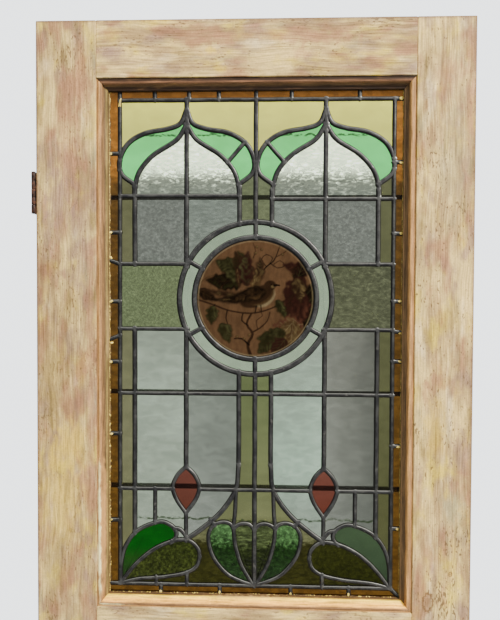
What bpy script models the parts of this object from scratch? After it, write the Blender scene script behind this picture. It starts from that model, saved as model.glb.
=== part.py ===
"""Half-glazed door: a pine frame, a leaded light of coloured glass held by mouldings in its upper half,
a flat panel in its lower half, and two butt hinges that carry it.

Metres, +Z up. The front looks along -Y and the hinges are at the -X side. The origin is the middle of
the flat outer face of the upper hinge's frame leaf, where the door is fastened to its jamb."""

import math

import bmesh
import bpy
from mathutils import Vector
from mathutils.geometry import delaunay_2d_cdt

GAP = 0.0003  # between pieces that touch

# The frame of stiles and rails.
DOOR_WIDTH = 0.813
DOOR_HEIGHT = 2.032
DOOR_THICKNESS = 0.044
HINGE_STILE_WIDTH = 0.113
LOCK_STILE_WIDTH = 0.107
TOP_RAIL_HEIGHT = 0.106
LOCK_RAIL_HEIGHT = 0.200
BOTTOM_RAIL_HEIGHT = 0.222
GLAZED_HEIGHT = 0.995
ARRIS = 0.0012

# The flat panel in its grooves.
PANEL_THICKNESS = 0.012
GROOVE_DEPTH = 0.010
PANEL_SHRINKAGE_ROOM = 0.001

# The moulding planted round the glass and round the panel, front side.
MOULDING_WIDTH = 0.020
MOULDING_SINK = 0.0008
MOULDING_DEPTH = 0.0179
QUIRK_WIDTH = 0.0022
QUIRK_DEPTH = 0.0025
BEAD_RADIUS = 0.0043
SIGHT_FILLET = 0.0010
SIGHT_EDGE_HEIGHT = 0.0054
FILLET_STEP = 0.0010
PANEL_MOULDING_WIDTH = 0.018

# The glazing beads behind the glass.
BACK_BEAD_WIDTH = 0.018
BACK_BEAD_SINK = 0.0010
BACK_BEAD_ROUND = 0.006

# The leaded light. Its field is the leadwork inside the amber border.
LIGHT_CLEARANCE = 0.002
LEAD_DEPTH = 0.006
FLANGE_THICKNESS = 0.0012
GLASS_THICKNESS = 0.003
EDGE_CAME = 0.009
BROAD_CAME = 0.009
MIDDLE_CAME = 0.0076
NARROW_CAME = 0.0062
BORDER_HINGE_SIDE = 0.0400
BORDER_LOCK_SIDE = 0.0365
BORDER_TOP = 0.0360
BORDER_BOTTOM = 0.0360
CURVE_STEP = 0.021
SMALLEST_PANE = 0.00006  # square metres; solder fills a smaller gap between leads

# The saddle bars that stiffen the light from behind.
BAR_HEIGHT = 0.008
BAR_DEPTH = 0.006

# The butt hinges.
HINGE_HEIGHT = 0.076
UPPER_HINGE_DROP = 0.319
LOWER_HINGE_RISE = 0.280
KNUCKLE_DIAMETER = 0.0087
KNUCKLES = 5
KNUCKLE_PLAY = 0.0006
LEAF_REACH = 0.029
LEAF_THICKNESS = 0.0024
PIN_DIAMETER = 0.0044
PIN_HEAD = 0.0014
SCREW_HOLE = 0.0046
SCREW_SINK = 0.0084
SCREW_HEIGHTS = (-0.026, 0.0, 0.026)
SCREW_SIDES = 6
BORE_SIDES = 8
KNUCKLE_SIDES = 10

# Where things lie, from those sizes.
LEAF_MIDDLE = (KNUCKLE_DIAMETER / 2 + LEAF_REACH) / 2
AXIS = Vector((KNUCKLE_DIAMETER / 2, -LEAF_MIDDLE, 0.0))
LEFT = KNUCKLE_DIAMETER + GAP
RIGHT = LEFT + DOOR_WIDTH
FRONT = AXIS.y
BACK = FRONT + DOOR_THICKNESS
TOP = UPPER_HINGE_DROP
BOTTOM = TOP - DOOR_HEIGHT
INNER_LEFT = LEFT + HINGE_STILE_WIDTH
INNER_RIGHT = RIGHT - LOCK_STILE_WIDTH
GLAZED_TOP = TOP - TOP_RAIL_HEIGHT
GLAZED_BOTTOM = GLAZED_TOP - GLAZED_HEIGHT
PANEL_TOP = GLAZED_BOTTOM - LOCK_RAIL_HEIGHT
PANEL_BOTTOM = BOTTOM + BOTTOM_RAIL_HEIGHT
PANEL_FRONT = (FRONT + BACK - PANEL_THICKNESS) / 2
PANEL_BACK = PANEL_FRONT + PANEL_THICKNESS
LEAD_FRONT = FRONT + MOULDING_SINK + MOULDING_DEPTH + GAP
LEAD_BACK = LEAD_FRONT + LEAD_DEPTH
GLASS_FRONT = (LEAD_FRONT + LEAD_BACK - GLASS_THICKNESS) / 2
GLASS_BACK = GLASS_FRONT + GLASS_THICKNESS
FIELD_LEFT = INNER_LEFT + BORDER_HINGE_SIDE
FIELD_RIGHT = INNER_RIGHT - BORDER_LOCK_SIDE
FIELD_TOP = GLAZED_TOP - BORDER_TOP
FIELD_BOTTOM = GLAZED_BOTTOM + BORDER_BOTTOM

# The leadwork is drawn for a field of this half width and height, in millimetres, and fits the field.
DRAWN_HALF = 258.0
DRAWN_HEIGHT = 923.0
STRIP, ARCH, MULLION = 229.5, 131.0, 30.5
SPRING = {-1: 180.0, 1: 186.0}
SQUARE_TOP, SQUARE_BOTTOM = 308.5, 432.0
CROSS, FOOT = 555.0, 738.5
RING_DROP, RING_OUTER, RING_INNER = 373.5, 144.0, 115.5
RING_SIDES = 28
SPOKE_ANGLE = 29.0
BAR_DROPS = {"upper": 182.0, "middle": 553.0, "lower": 735.0}
OGEE_OUTER = ((1, 20), (12, 44), (38, 54), (80, 62), (112, 82), (127, 112), (124, 138), (99.5, 158))
OGEE_INNER = ((1, 48), (20, 75), (62, 102), (88, 131), (98, 160), (99.5, 182))
BUD = ((0, 697), (18, 708), (25.5, 732), (18, 758), (0, 785))
BUD_STRETCH = {-1: 1.0, 1: 1.05}
STEM = ((30.5, 690), (36, 738.5), (64, 782), (102, 816), (129, 834))
LEAF_UPPER = ((257, 921), (256, 885), (247, 850), (224, 820), (184, 803), (158, 809), (150, 826), (153, 841))
LEAF_LOWER_TOP = ((257, 923), (229, 887), (196, 858), (158, 840), (126, 838), (108, 853), (104.5, 869))
LEAF_LOWER_FOOT = ((257, 923), (222, 914), (172, 909), (132, 901), (111, 888), (104.5, 869))
PETAL_SIDE = (
    (40, 812), (47, 804), (62, 801.5), (79, 809), (88, 830), (80, 866), (54, 899), (24, 915), (3, 921)
)
PETAL_SEAM = ((40, 810), (37, 842), (27, 878), (12, 906), (2, 921))
PETAL_TOP = ((0, 815), (8, 806), (19, 803), (31, 806), (40, 813))
BORDER_TIES = {
    -1: ((100, 100), (249, 249), (297, 309), (380, 380), (458, 445), (495, 495), (633, 633), (800, 800)),
    1: ((118, 118), (251, 251), (378, 378), (438, 434), (491, 491), (651, 651), (808, 808)),
}
TOP_TIES = (-191.5, -126.5, -70.5, 0.0, 66.5, 193.5)
BOTTOM_TIES = (-179.0, -66.0, 69.5, 179.5)

PANES = {
    "glass_top_left": (-200, 15),
    "glass_top_right": (200, 15),
    "glass_ogee_left_outer": (-236, 115),
    "glass_ogee_left_inner": (-26, 115),
    "glass_ogee_right_inner": (26, 115),
    "glass_ogee_right_outer": (236, 115),
    "glass_clear_upper_left": (-150, 130),
    "glass_clear_upper_right": (150, 130),
    "glass_olive_side_upper_left": (-244, 250),
    "glass_olive_side_upper_right": (244, 250),
    "glass_olive_middle_upper": (15, 200),
    "glass_square_left": (-200, 370),
    "glass_square_right": (200, 370),
    "glass_ring": (129.5, 373.5),
    "glass_roundel": (0, 373.5),
    "glass_olive_side_lower_left": (-244, 500),
    "glass_olive_side_lower_right": (244, 500),
    "glass_clear_lower_left": (-180, 500),
    "glass_clear_lower_right": (180, 500),
    "glass_olive_middle_lower": (15, 650),
    "glass_bud_left": (-131, 740),
    "glass_bud_right": (131, 740),
    "glass_leaf_upper_left": (-225, 855),
    "glass_leaf_upper_right": (225, 855),
    "glass_leaf_lower_left": (-150, 880),
    "glass_leaf_lower_right": (150, 880),
    "glass_petals_left": (-62, 850),
    "glass_petals_right": (62, 850),
    "glass_ground_left": (-85, 897),
    "glass_ground_right": (85, 897),
    "glass_border": (270, 500),
}

# Colour, roughness, metallic, transmission.
FINISHES = {
    "stripped_pine": ((0.62, 0.50, 0.35, 1), 0.70, 0.0, 0.0),
    "moulding_pine": ((0.48, 0.28, 0.16, 1), 0.60, 0.0, 0.0),
    "lead": ((0.10, 0.10, 0.10, 1), 0.50, 0.8, 0.0),
    "bar_steel": ((0.07, 0.06, 0.05, 1), 0.60, 0.9, 0.0),
    "hinge_iron": ((0.10, 0.05, 0.03, 1), 0.65, 0.8, 0.0),
    "glass_top": ((0.60, 0.60, 0.33, 1), 0.10, 0.0, 0.8),
    "glass_ogee": ((0.30, 0.64, 0.38, 1), 0.10, 0.0, 0.8),
    "glass_clear": ((0.60, 0.65, 0.62, 1), 0.15, 0.0, 0.9),
    "glass_olive": ((0.18, 0.19, 0.08, 1), 0.15, 0.0, 0.8),
    "glass_square": ((0.19, 0.26, 0.11, 1), 0.20, 0.0, 0.8),
    "glass_ring": ((0.42, 0.51, 0.42, 1), 0.12, 0.0, 0.8),
    "glass_roundel": ((0.16, 0.07, 0.03, 1), 0.20, 0.0, 0.3),
    "glass_bud": ((0.24, 0.03, 0.02, 1), 0.10, 0.0, 0.8),
    "glass_leaf_upper_left": ((0.00, 0.16, 0.00, 1), 0.10, 0.0, 0.8),
    "glass_leaf_upper_right": ((0.09, 0.19, 0.10, 1), 0.10, 0.0, 0.8),
    "glass_leaf_lower": ((0.04, 0.06, 0.01, 1), 0.15, 0.0, 0.8),
    "glass_petals": ((0.07, 0.19, 0.07, 1), 0.15, 0.0, 0.8),
    "glass_ground": ((0.10, 0.06, 0.01, 1), 0.15, 0.0, 0.8),
    "glass_border": ((0.36, 0.13, 0.02, 1), 0.10, 0.0, 0.8),
}


def clear_scene():
    for obj in list(bpy.data.objects):
        bpy.data.objects.remove(obj, do_unlink=True)


def finish_material(name, finish):
    colour, roughness, metallic, transmission = FINISHES[finish]
    material = bpy.data.materials.new(name)
    material.use_nodes = True
    shader = material.node_tree.nodes["Principled BSDF"]
    shader.inputs["Base Color"].default_value = colour
    shader.inputs["Roughness"].default_value = roughness
    shader.inputs["Metallic"].default_value = metallic
    shader.inputs["Transmission Weight"].default_value = transmission
    material.diffuse_color = colour
    return material


def glass_finish(name):
    """The finish whose name the pane's own name starts with, the longest one that fits."""
    fits = [finish for finish in FINISHES if name.startswith(finish)]
    return max(fits, key=len)


def add_object(name, bm, finish, parent, place=Vector()):
    """The mesh as an object at `place` in the world; a cutter has no finish and isn't rendered."""
    mesh = bpy.data.meshes.new(name)
    bm.to_mesh(mesh)
    bm.free()
    obj = bpy.data.objects.new(name, mesh)
    bpy.context.collection.objects.link(obj)
    obj.parent = parent
    obj.location = place - (parent.location if parent else Vector())
    if finish:
        mesh.materials.append(finish_material(name, finish))
    else:
        obj.hide_render = True
        obj.display_type = "WIRE"
    return obj


def round_shading(obj, angle=30):
    obj.data.shade_smooth()
    obj.data.set_sharp_from_angle(angle=math.radians(angle))


def add_boolean(obj, tool, operation):
    modifier = obj.modifiers.new(tool.name, "BOOLEAN")
    modifier.object = tool
    modifier.operation = operation
    modifier.solver = "EXACT"


def prism(outline, direction):
    """A bmesh of the closed 3-D outline extruded along `direction`."""
    bm = bmesh.new()
    near = [bm.verts.new(point) for point in outline]
    far = [bm.verts.new(Vector(point) + Vector(direction)) for point in outline]
    bm.faces.new(near)
    bm.faces.new(reversed(far))
    for i in range(len(near)):
        j = (i + 1) % len(near)
        bm.faces.new((near[j], near[i], far[i], far[j]))
    bmesh.ops.recalc_face_normals(bm, faces=bm.faces)
    return bm


def box_mesh(size):
    bm = bmesh.new()
    bmesh.ops.create_cube(bm, size=1.0)
    bmesh.ops.scale(bm, vec=size, verts=bm.verts)
    return bm


def add_box(name, low, high, finish, parent, arris=0.0):
    low, high = Vector(low), Vector(high)
    bm = box_mesh(high - low)
    if arris:
        bmesh.ops.bevel(bm, geom=bm.edges[:], offset=arris, segments=1, affect="EDGES")
    return add_object(name, bm, finish, parent, (low + high) / 2)


def make_frame(door):
    """Two stiles run the door's full height; the rails stand between them."""
    stiles = {"hinge": (LEFT, INNER_LEFT, INNER_LEFT), "lock": (INNER_RIGHT, RIGHT, INNER_RIGHT)}
    for name, (x0, x1, edge) in stiles.items():
        stile = add_box(f"stile_{name}", (x0, FRONT, BOTTOM), (x1, BACK, TOP), "stripped_pine", door, ARRIS)
        groove = add_box(
            f"stile_{name}_groove",
            (edge - GROOVE_DEPTH, PANEL_FRONT - GAP, PANEL_BOTTOM - GROOVE_DEPTH),
            (edge + GROOVE_DEPTH, PANEL_BACK + GAP, PANEL_TOP + GROOVE_DEPTH),
            None,
            door,
        )
        add_boolean(stile, groove, "DIFFERENCE")
    rails = {
        "top": (GLAZED_TOP, TOP, None),
        "lock": (PANEL_TOP, GLAZED_BOTTOM, PANEL_TOP),
        "bottom": (BOTTOM, PANEL_BOTTOM, PANEL_BOTTOM),
    }
    x0, x1 = INNER_LEFT + GAP, INNER_RIGHT - GAP
    for name, (z0, z1, edge) in rails.items():
        rail = add_box(f"rail_{name}", (x0, FRONT, z0), (x1, BACK, z1), "stripped_pine", door, ARRIS)
        if edge is None:
            continue
        groove = add_box(
            f"rail_{name}_groove",
            (x0 - GROOVE_DEPTH, PANEL_FRONT - GAP, edge - GROOVE_DEPTH),
            (x1 + GROOVE_DEPTH, PANEL_BACK + GAP, edge + GROOVE_DEPTH),
            None,
            door,
        )
        add_boolean(rail, groove, "DIFFERENCE")
    reach = GROOVE_DEPTH - PANEL_SHRINKAGE_ROOM
    add_box(
        "panel_lower",
        (INNER_LEFT - reach, PANEL_FRONT, PANEL_BOTTOM - reach),
        (INNER_RIGHT + reach, PANEL_BACK, PANEL_TOP + reach),
        "stripped_pine",
        door,
    )


def moulding_profile(width, depth):
    """(in from the opening's edge, back from the moulding's face): quirk, bead, cove and sight edge."""
    points = [(GAP, depth), (GAP, QUIRK_DEPTH), (QUIRK_WIDTH, QUIRK_DEPTH)]
    start = math.asin(1 - QUIRK_DEPTH / BEAD_RADIUS)
    for step in range(1, 7):
        angle = math.pi - start - (math.pi - start) * step / 6
        across, back = 1 + math.cos(angle), 1 - math.sin(angle)
        points.append((QUIRK_WIDTH + BEAD_RADIUS * across, BEAD_RADIUS * back))
    bead_end, cove_top = QUIRK_WIDTH + 2 * BEAD_RADIUS, BEAD_RADIUS + FILLET_STEP
    cove_end, cove_foot = width - SIGHT_FILLET, depth - SIGHT_EDGE_HEIGHT
    for step in range(5):
        angle = math.pi / 2 * step / 4
        points.append(
            (
                cove_end - (cove_end - bead_end) * math.cos(angle),
                cove_top + (cove_foot - cove_top) * math.sin(angle),
            )
        )
    return points + [(width, cove_foot), (width, depth)]


def bead_profile(width, depth):
    """(in from the opening's edge, back from the glass): a square bead with its inner arris rounded."""
    points = [(GAP, 0.0), (width, 0.0)]
    rounding = min(BACK_BEAD_ROUND, 0.9 * depth)
    for step in range(4):
        angle = math.pi / 2 * step / 3
        points.append(
            (width - rounding * (1 - math.cos(angle)), depth - rounding * (1 - math.sin(angle)))
        )
    return points + [(GAP, depth)]


def add_mitred_frame(prefix, opening, profile, face, finish, parent):
    """Four strips of one profile round an opening (left, right, bottom, top), mitred at the corners."""
    left, right, bottom, top = opening
    sides = {
        "left": (Vector((left, face, 0)), Vector((1, 0, 0)), Vector((0, 0, 1)), bottom, top),
        "right": (Vector((right, face, 0)), Vector((-1, 0, 0)), Vector((0, 0, 1)), bottom, top),
        "top": (Vector((0, face, top)), Vector((0, 0, -1)), Vector((1, 0, 0)), left, right),
        "bottom": (Vector((0, face, bottom)), Vector((0, 0, 1)), Vector((1, 0, 0)), left, right),
    }
    made = {}
    for name, (edge, inward, along, start, stop) in sides.items():
        bm = bmesh.new()
        middle = (start + stop) / 2
        ends = []
        for end, step_in in ((start, GAP), (stop, -GAP)):
            sign = 1 if step_in > 0 else -1
            ring = []
            for in_from_edge, back in profile:
                run = end + step_in + sign * in_from_edge - middle
                ring.append(bm.verts.new(inward * in_from_edge + Vector((0, back, 0)) + along * run))
            ends.append(ring)
        near, far = ends
        bm.faces.new(near)
        bm.faces.new(reversed(far))
        for i in range(len(near)):
            j = (i + 1) % len(near)
            bm.faces.new((near[j], near[i], far[i], far[j]))
        bmesh.ops.recalc_face_normals(bm, faces=bm.faces)
        made[name] = add_object(f"{prefix}_{name}", bm, finish, parent, edge + along * middle)
        round_shading(made[name])
    return made


def make_mouldings(door):
    glazed = (INNER_LEFT, INNER_RIGHT, GLAZED_BOTTOM, GLAZED_TOP)
    lower = (INNER_LEFT, INNER_RIGHT, PANEL_BOTTOM, PANEL_TOP)
    face = FRONT + MOULDING_SINK
    profile = moulding_profile(MOULDING_WIDTH, MOULDING_DEPTH)
    add_mitred_frame("glass_moulding", glazed, profile, face, "moulding_pine", door)
    profile = moulding_profile(PANEL_MOULDING_WIDTH, PANEL_FRONT - GAP - face)
    add_mitred_frame("panel_moulding", lower, profile, face, "moulding_pine", door)
    profile = bead_profile(BACK_BEAD_WIDTH, BACK - BACK_BEAD_SINK - LEAD_BACK - GAP)
    beads = add_mitred_frame("back_bead", glazed, profile, LEAD_BACK + GAP, "moulding_pine", door)
    make_saddle_bars(door, beads)


def make_saddle_bars(door, beads):
    """Flat bars across the back of the light; their ends lie in notches of the two side beads."""
    x0, x1 = INNER_LEFT + LIGHT_CLEARANCE, INNER_RIGHT - LIGHT_CLEARANCE
    y0 = LEAD_BACK + GAP
    for name, drop in BAR_DROPS.items():
        z0 = in_field((0, drop)).y / 1000 - BAR_HEIGHT / 2
        z1 = z0 + BAR_HEIGHT
        add_box(f"saddle_bar_{name}", (x0, y0, z0), (x1, y0 + BAR_DEPTH, z1), "bar_steel", door)
        notch = add_box(
            f"saddle_bar_{name}_notch",
            (x0 - LIGHT_CLEARANCE, y0 - BAR_DEPTH, z0 - GAP),
            (x1 + LIGHT_CLEARANCE, y0 + BAR_DEPTH + GAP, z1 + GAP),
            None,
            door,
        )
        for side in ("left", "right"):
            add_boolean(beads[side], notch, "DIFFERENCE")


def circle_points(radius, sides):
    angles = [2 * math.pi * i / sides for i in range(sides)]
    return [(radius * math.cos(a), radius * math.sin(a)) for a in angles]


def drum(radius, low, high, sides=KNUCKLE_SIDES):
    """A closed cylinder about the local Z axis."""
    return prism([(x, y, low) for x, y in circle_points(radius, sides)], (0, 0, high - low))


def joined(meshes):
    """Separate closed meshes as one bmesh."""
    whole = bmesh.new()
    for part in meshes:
        mesh = bpy.data.meshes.new("joined")
        part.to_mesh(mesh)
        part.free()
        whole.from_mesh(mesh)
        bpy.data.meshes.remove(mesh)
    return whole


def screw_cutter(place, inward):
    """A countersunk screw hole at `place` on a leaf's outer face, wide at its inner face."""
    overshoot = 0.001
    rings = (
        (-overshoot, SCREW_HOLE),
        (LEAF_THICKNESS * 0.25, SCREW_HOLE),
        (LEAF_THICKNESS + overshoot, SCREW_SINK),
    )
    bm = bmesh.new()
    loops = []
    for depth, diameter in rings:
        circle = circle_points(diameter / 2, SCREW_SIDES)
        loops.append([bm.verts.new(Vector(place) + Vector((inward * depth, y, z))) for y, z in circle])
    bm.faces.new(loops[0])
    bm.faces.new(reversed(loops[-1]))
    for low, high in zip(loops, loops[1:]):
        for i in range(SCREW_SIDES):
            j = (i + 1) % SCREW_SIDES
            bm.faces.new((low[j], low[i], high[i], high[j]))
    bmesh.ops.recalc_face_normals(bm, faces=bm.faces)
    return bm


def make_leaf(name, outer, own, middle, parent):
    """A hinge leaf: a plate with its own knuckles, clear of the other leaf's, and three screw holes.

    `outer` is -1 for the leaf on the jamb and +1 for the leaf on the door's edge."""
    radius = KNUCKLE_DIAMETER / 2
    length = HINGE_HEIGHT / KNUCKLES
    centre = AXIS + Vector((0, 0, middle))
    face = outer * radius
    plate = [(face, 0, 0), (face - outer * LEAF_THICKNESS, 0, 0)]
    plate += [(x, LEAF_REACH, z) for x, _, z in reversed(plate)]
    base = prism([(x, y, -HINGE_HEIGHT / 2) for x, y, _ in plate], (0, 0, HINGE_HEIGHT))
    leaf = add_object(name, base, "hinge_iron", parent, centre)
    own_drums, other_drums = [], []
    for i in range(KNUCKLES):
        low, high = -HINGE_HEIGHT / 2 + i * length, -HINGE_HEIGHT / 2 + (i + 1) * length
        if i in own:
            trim_low = KNUCKLE_PLAY / 2 if i > 0 else 0
            trim_high = KNUCKLE_PLAY / 2 if i < KNUCKLES - 1 else 0
            own_drums.append(drum(radius, low + trim_low, high - trim_high))
        else:
            spare_low = KNUCKLE_PLAY / 2 if i > 0 else KNUCKLE_PLAY
            spare_high = KNUCKLE_PLAY / 2 if i < KNUCKLES - 1 else KNUCKLE_PLAY
            other_drums.append(drum(radius + KNUCKLE_PLAY, low - spare_low, high + spare_high))
    tools = (
        ("others", joined(other_drums), "DIFFERENCE"),
        ("knuckles", joined(own_drums), "UNION"),
        ("bore", drum(PIN_DIAMETER / 2 + GAP, -HINGE_HEIGHT, HINGE_HEIGHT, BORE_SIDES), "DIFFERENCE"),
        ("screws", joined(leaf_screw_holes(outer, face)), "DIFFERENCE"),
    )
    for tool_name, mesh, operation in tools:
        tool = add_object(f"{name}_{tool_name}", mesh, None, parent, centre)
        add_boolean(leaf, tool, operation)
    round_shading(leaf)
    return leaf


def leaf_screw_holes(outer, face):
    """Three holes in a zigzag, the middle one nearer to the knuckles."""
    near = KNUCKLE_DIAMETER / 2 + 0.28 * (LEAF_REACH - KNUCKLE_DIAMETER / 2)
    far = KNUCKLE_DIAMETER / 2 + 0.66 * (LEAF_REACH - KNUCKLE_DIAMETER / 2)
    holes = []
    for height in SCREW_HEIGHTS:
        y = near if height == 0 else far
        holes.append(screw_cutter((face, y, height), -outer))
    return holes


def make_pin(name, middle, parent):
    """A turned pin with a domed head at each end, as one closed lathe shape."""
    shaft, head = PIN_DIAMETER / 2, KNUCKLE_DIAMETER / 2
    end = HINGE_HEIGHT / 2
    profile = [(shaft, 0.0), (shaft, end + GAP), (head, end + GAP)]
    for step in (1, 2):
        angle = math.pi / 2 * step / 3
        profile.append((head * math.cos(angle), end + GAP + PIN_HEAD * math.sin(angle)))
    half = profile[1:]
    outline = [(r, -z) for r, z in reversed(half)] + half
    bm = bmesh.new()
    rings = []
    for radius, z in outline:
        rings.append([bm.verts.new((x, y, z)) for x, y in circle_points(radius, KNUCKLE_SIDES)])
    poles = (bm.verts.new((0, 0, -end - GAP - PIN_HEAD)), bm.verts.new((0, 0, end + GAP + PIN_HEAD)))
    for low, high in zip(rings, rings[1:]):
        for i in range(KNUCKLE_SIDES):
            j = (i + 1) % KNUCKLE_SIDES
            bm.faces.new((low[i], low[j], high[j], high[i]))
    for i in range(KNUCKLE_SIDES):
        j = (i + 1) % KNUCKLE_SIDES
        bm.faces.new((poles[0], rings[0][j], rings[0][i]))
        bm.faces.new((poles[1], rings[-1][i], rings[-1][j]))
    bmesh.ops.recalc_face_normals(bm, faces=bm.faces)
    pin = add_object(name, bm, "hinge_iron", parent, AXIS + Vector((0, 0, middle)))
    round_shading(pin)


def make_hinges(door, jamb):
    middles = {"upper": 0.0, "lower": BOTTOM + LOWER_HINGE_RISE}
    for name, middle in middles.items():
        make_leaf(f"hinge_{name}_frame_leaf", -1, range(0, KNUCKLES, 2), middle, jamb)
        make_leaf(f"hinge_{name}_door_leaf", 1, range(1, KNUCKLES, 2), middle, door)
        make_pin(f"hinge_{name}_pin", middle, jamb)


def in_field(point):
    """A drawn point's place on the door, as (x, z) in millimetres."""
    x = (FIELD_LEFT + FIELD_RIGHT) / 2 + point[0] / DRAWN_HALF * (FIELD_RIGHT - FIELD_LEFT) / 2
    z = FIELD_TOP - point[1] / DRAWN_HEIGHT * (FIELD_TOP - FIELD_BOTTOM)
    return Vector((x * 1000, z * 1000))


def smooth_line(points):
    """A Catmull-Rom curve through the points, with a vertex about every CURVE_STEP."""
    points = [Vector(p) for p in points]
    ends = [2 * points[0] - points[1]] + points + [2 * points[-1] - points[-2]]
    line = [points[0]]
    for a, b, c, d in zip(ends, ends[1:], ends[2:], ends[3:]):
        steps = max(1, round((c - b).length / (CURVE_STEP * 1000)))
        square, cube = 2 * a - 5 * b + 4 * c - d, 3 * b - a - 3 * c + d
        for i in range(1, steps + 1):
            t = i / steps
            line.append(0.5 * (2 * b + (c - a) * t + square * t**2 + cube * t**3))
    return line


def ring_line(radius, start, stop, sides):
    """A stretch of the drawn ring, angles in degrees from the right, anticlockwise."""
    angles = [math.radians(start + (stop - start) * i / sides) for i in range(sides + 1)]
    return [(radius * math.cos(a), RING_DROP - radius * math.sin(a)) for a in angles]


def ring_height(x):
    """How far above or below the ring's centre its outer lead is at x."""
    return math.sqrt(RING_OUTER**2 - x**2)


def side_leads(side):
    """The leads of one half of the drawing. Each is (points, width, glass runs under it)."""
    spring = SPRING[side]
    bud = [(x, BUD[0][1] + (z - BUD[0][1]) * BUD_STRETCH[side]) for x, z in BUD]
    edge, broad, middle, narrow = DRAWN_HALF, BROAD_CAME, MIDDLE_CAME, NARROW_CAME
    ring_side = math.sqrt(RING_OUTER**2 - (RING_DROP - SQUARE_TOP) ** 2)
    leads = [
        (((edge, 0), (edge, DRAWN_HEIGHT)), narrow, False),
        (((STRIP, spring - 12), (STRIP, SQUARE_TOP)), middle, False),
        (((STRIP, SQUARE_BOTTOM), (STRIP, 826)), middle, False),
        (((ARCH, 0), (ARCH, 28)), middle, True),
        (((ARCH, 24), (ARCH, 60)), broad, False),
        (((ARCH, 56), (ARCH, RING_DROP - ring_height(ARCH))), middle, True),
        (((ARCH, RING_DROP + ring_height(ARCH)), (ARCH, bud[0][1])), middle, True),
        (((ARCH, bud[-1][1]), (ARCH, 834)), narrow, True),
        (((edge, spring), (MULLION, spring)), narrow, True),
        (((edge, SQUARE_TOP), (ring_side, SQUARE_TOP)), narrow, False),
        (((edge, SQUARE_BOTTOM), (ring_side, SQUARE_BOTTOM)), narrow, False),
        (((MULLION, spring - 12), (MULLION, RING_DROP - ring_height(MULLION))), middle, False),
        (((edge, FOOT), (ARCH + bud[2][0], FOOT)), narrow, True),
        (((ARCH - bud[2][0], FOOT), (0, FOOT)), narrow, True),
        (((edge, CROSS), (0, CROSS)), narrow, True),
        (((190.5, FOOT), (190.5, 803)), narrow, True),
        (((20.5, 81), (50, 111.5)), narrow, True),
        (((35.5, 736), (37, 780), (40, 810)), narrow, True),
        (((152, 811), (140, 814), (ARCH, 823)), narrow, True),
        (((84, 798), (76, 807)), middle, False),
        (((129, 902), (129, DRAWN_HEIGHT)), narrow, True),
        (((MULLION, RING_DROP + ring_height(MULLION)), (MULLION, 692)), middle, False),
        (smooth_line(STEM), middle, False),
        (smooth_line(LEAF_UPPER), narrow, False),
        (smooth_line(LEAF_LOWER_TOP), narrow, False),
        (smooth_line(LEAF_LOWER_FOOT), narrow, False),
        (smooth_line(PETAL_SIDE), narrow, False),
        (smooth_line(PETAL_SEAM), narrow, True),
        (smooth_line(PETAL_TOP), narrow, False),
    ]
    for turn in (-1, 1):
        leads.append((smooth_line([(ARCH + turn * x, z) for x, z in OGEE_OUTER]), middle, False))
        leads.append((smooth_line([(ARCH + turn * x, z) for x, z in OGEE_INNER]), middle, False))
        leads.append((smooth_line([(ARCH + turn * x, z) for x, z in bud]), narrow, False))
        angle = math.radians(turn * SPOKE_ANGLE)
        spoke = [(r * math.cos(angle), RING_DROP - r * math.sin(angle)) for r in (RING_INNER, RING_OUTER)]
        leads.append((spoke, middle, True))
    return [([(side * x, z) for x, z in points], width, open_) for points, width, open_ in leads]


def middle_leads():
    """The leads that cross or follow the middle of the drawing."""
    top, foot = RING_DROP - RING_OUTER, RING_DROP + RING_OUTER
    leads = [
        (((-DRAWN_HALF, 0), (DRAWN_HALF, 0)), NARROW_CAME, False),
        (((-DRAWN_HALF, DRAWN_HEIGHT), (DRAWN_HALF, DRAWN_HEIGHT)), NARROW_CAME, False),
        (((0, 0), (0, 150)), MIDDLE_CAME, False),
        (((0, 145), (0, top)), MIDDLE_CAME, True),
        (((0, top), (0, RING_DROP - RING_INNER)), MIDDLE_CAME, True),
        (((0, RING_DROP + RING_INNER), (0, foot)), MIDDLE_CAME, True),
        (((0, foot), (0, 812)), MIDDLE_CAME, True),
        (((0, 808), (0, DRAWN_HEIGHT)), MIDDLE_CAME, False),
        (((-188, 910), (-188, DRAWN_HEIGHT)), NARROW_CAME, True),
    ]
    for start in (0, 180):
        leads.append((ring_line(RING_OUTER, start, start + 180, RING_SIDES // 2), BROAD_CAME, False))
        leads.append((ring_line(RING_INNER, start, start + 180, RING_SIDES // 2), BROAD_CAME, False))
    return leads


def ribbon(points, width):
    """The outline of a lead of that width along the points, mitred where it turns, in millimetres."""
    half = width * 1000 / 2
    left, right = [], []
    for i, point in enumerate(points):
        before = (point - points[i - 1]).normalized() if i else None
        after = (points[i + 1] - point).normalized() if i < len(points) - 1 else None
        first, second = before or after, after or before
        along = (first + second).normalized()
        reach = half / max(0.5, along.dot(first))
        aside = Vector((-along.y, along.x)) * reach
        left.append(point + aside)
        right.append(point - aside)
    return left + right[::-1]


def light_outline():
    """The light's own edges, (left, right, bottom, top) in metres."""
    return (
        INNER_LEFT + LIGHT_CLEARANCE,
        INNER_RIGHT - LIGHT_CLEARANCE,
        GLAZED_BOTTOM + LIGHT_CLEARANCE,
        GLAZED_TOP - LIGHT_CLEARANCE,
    )


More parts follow.
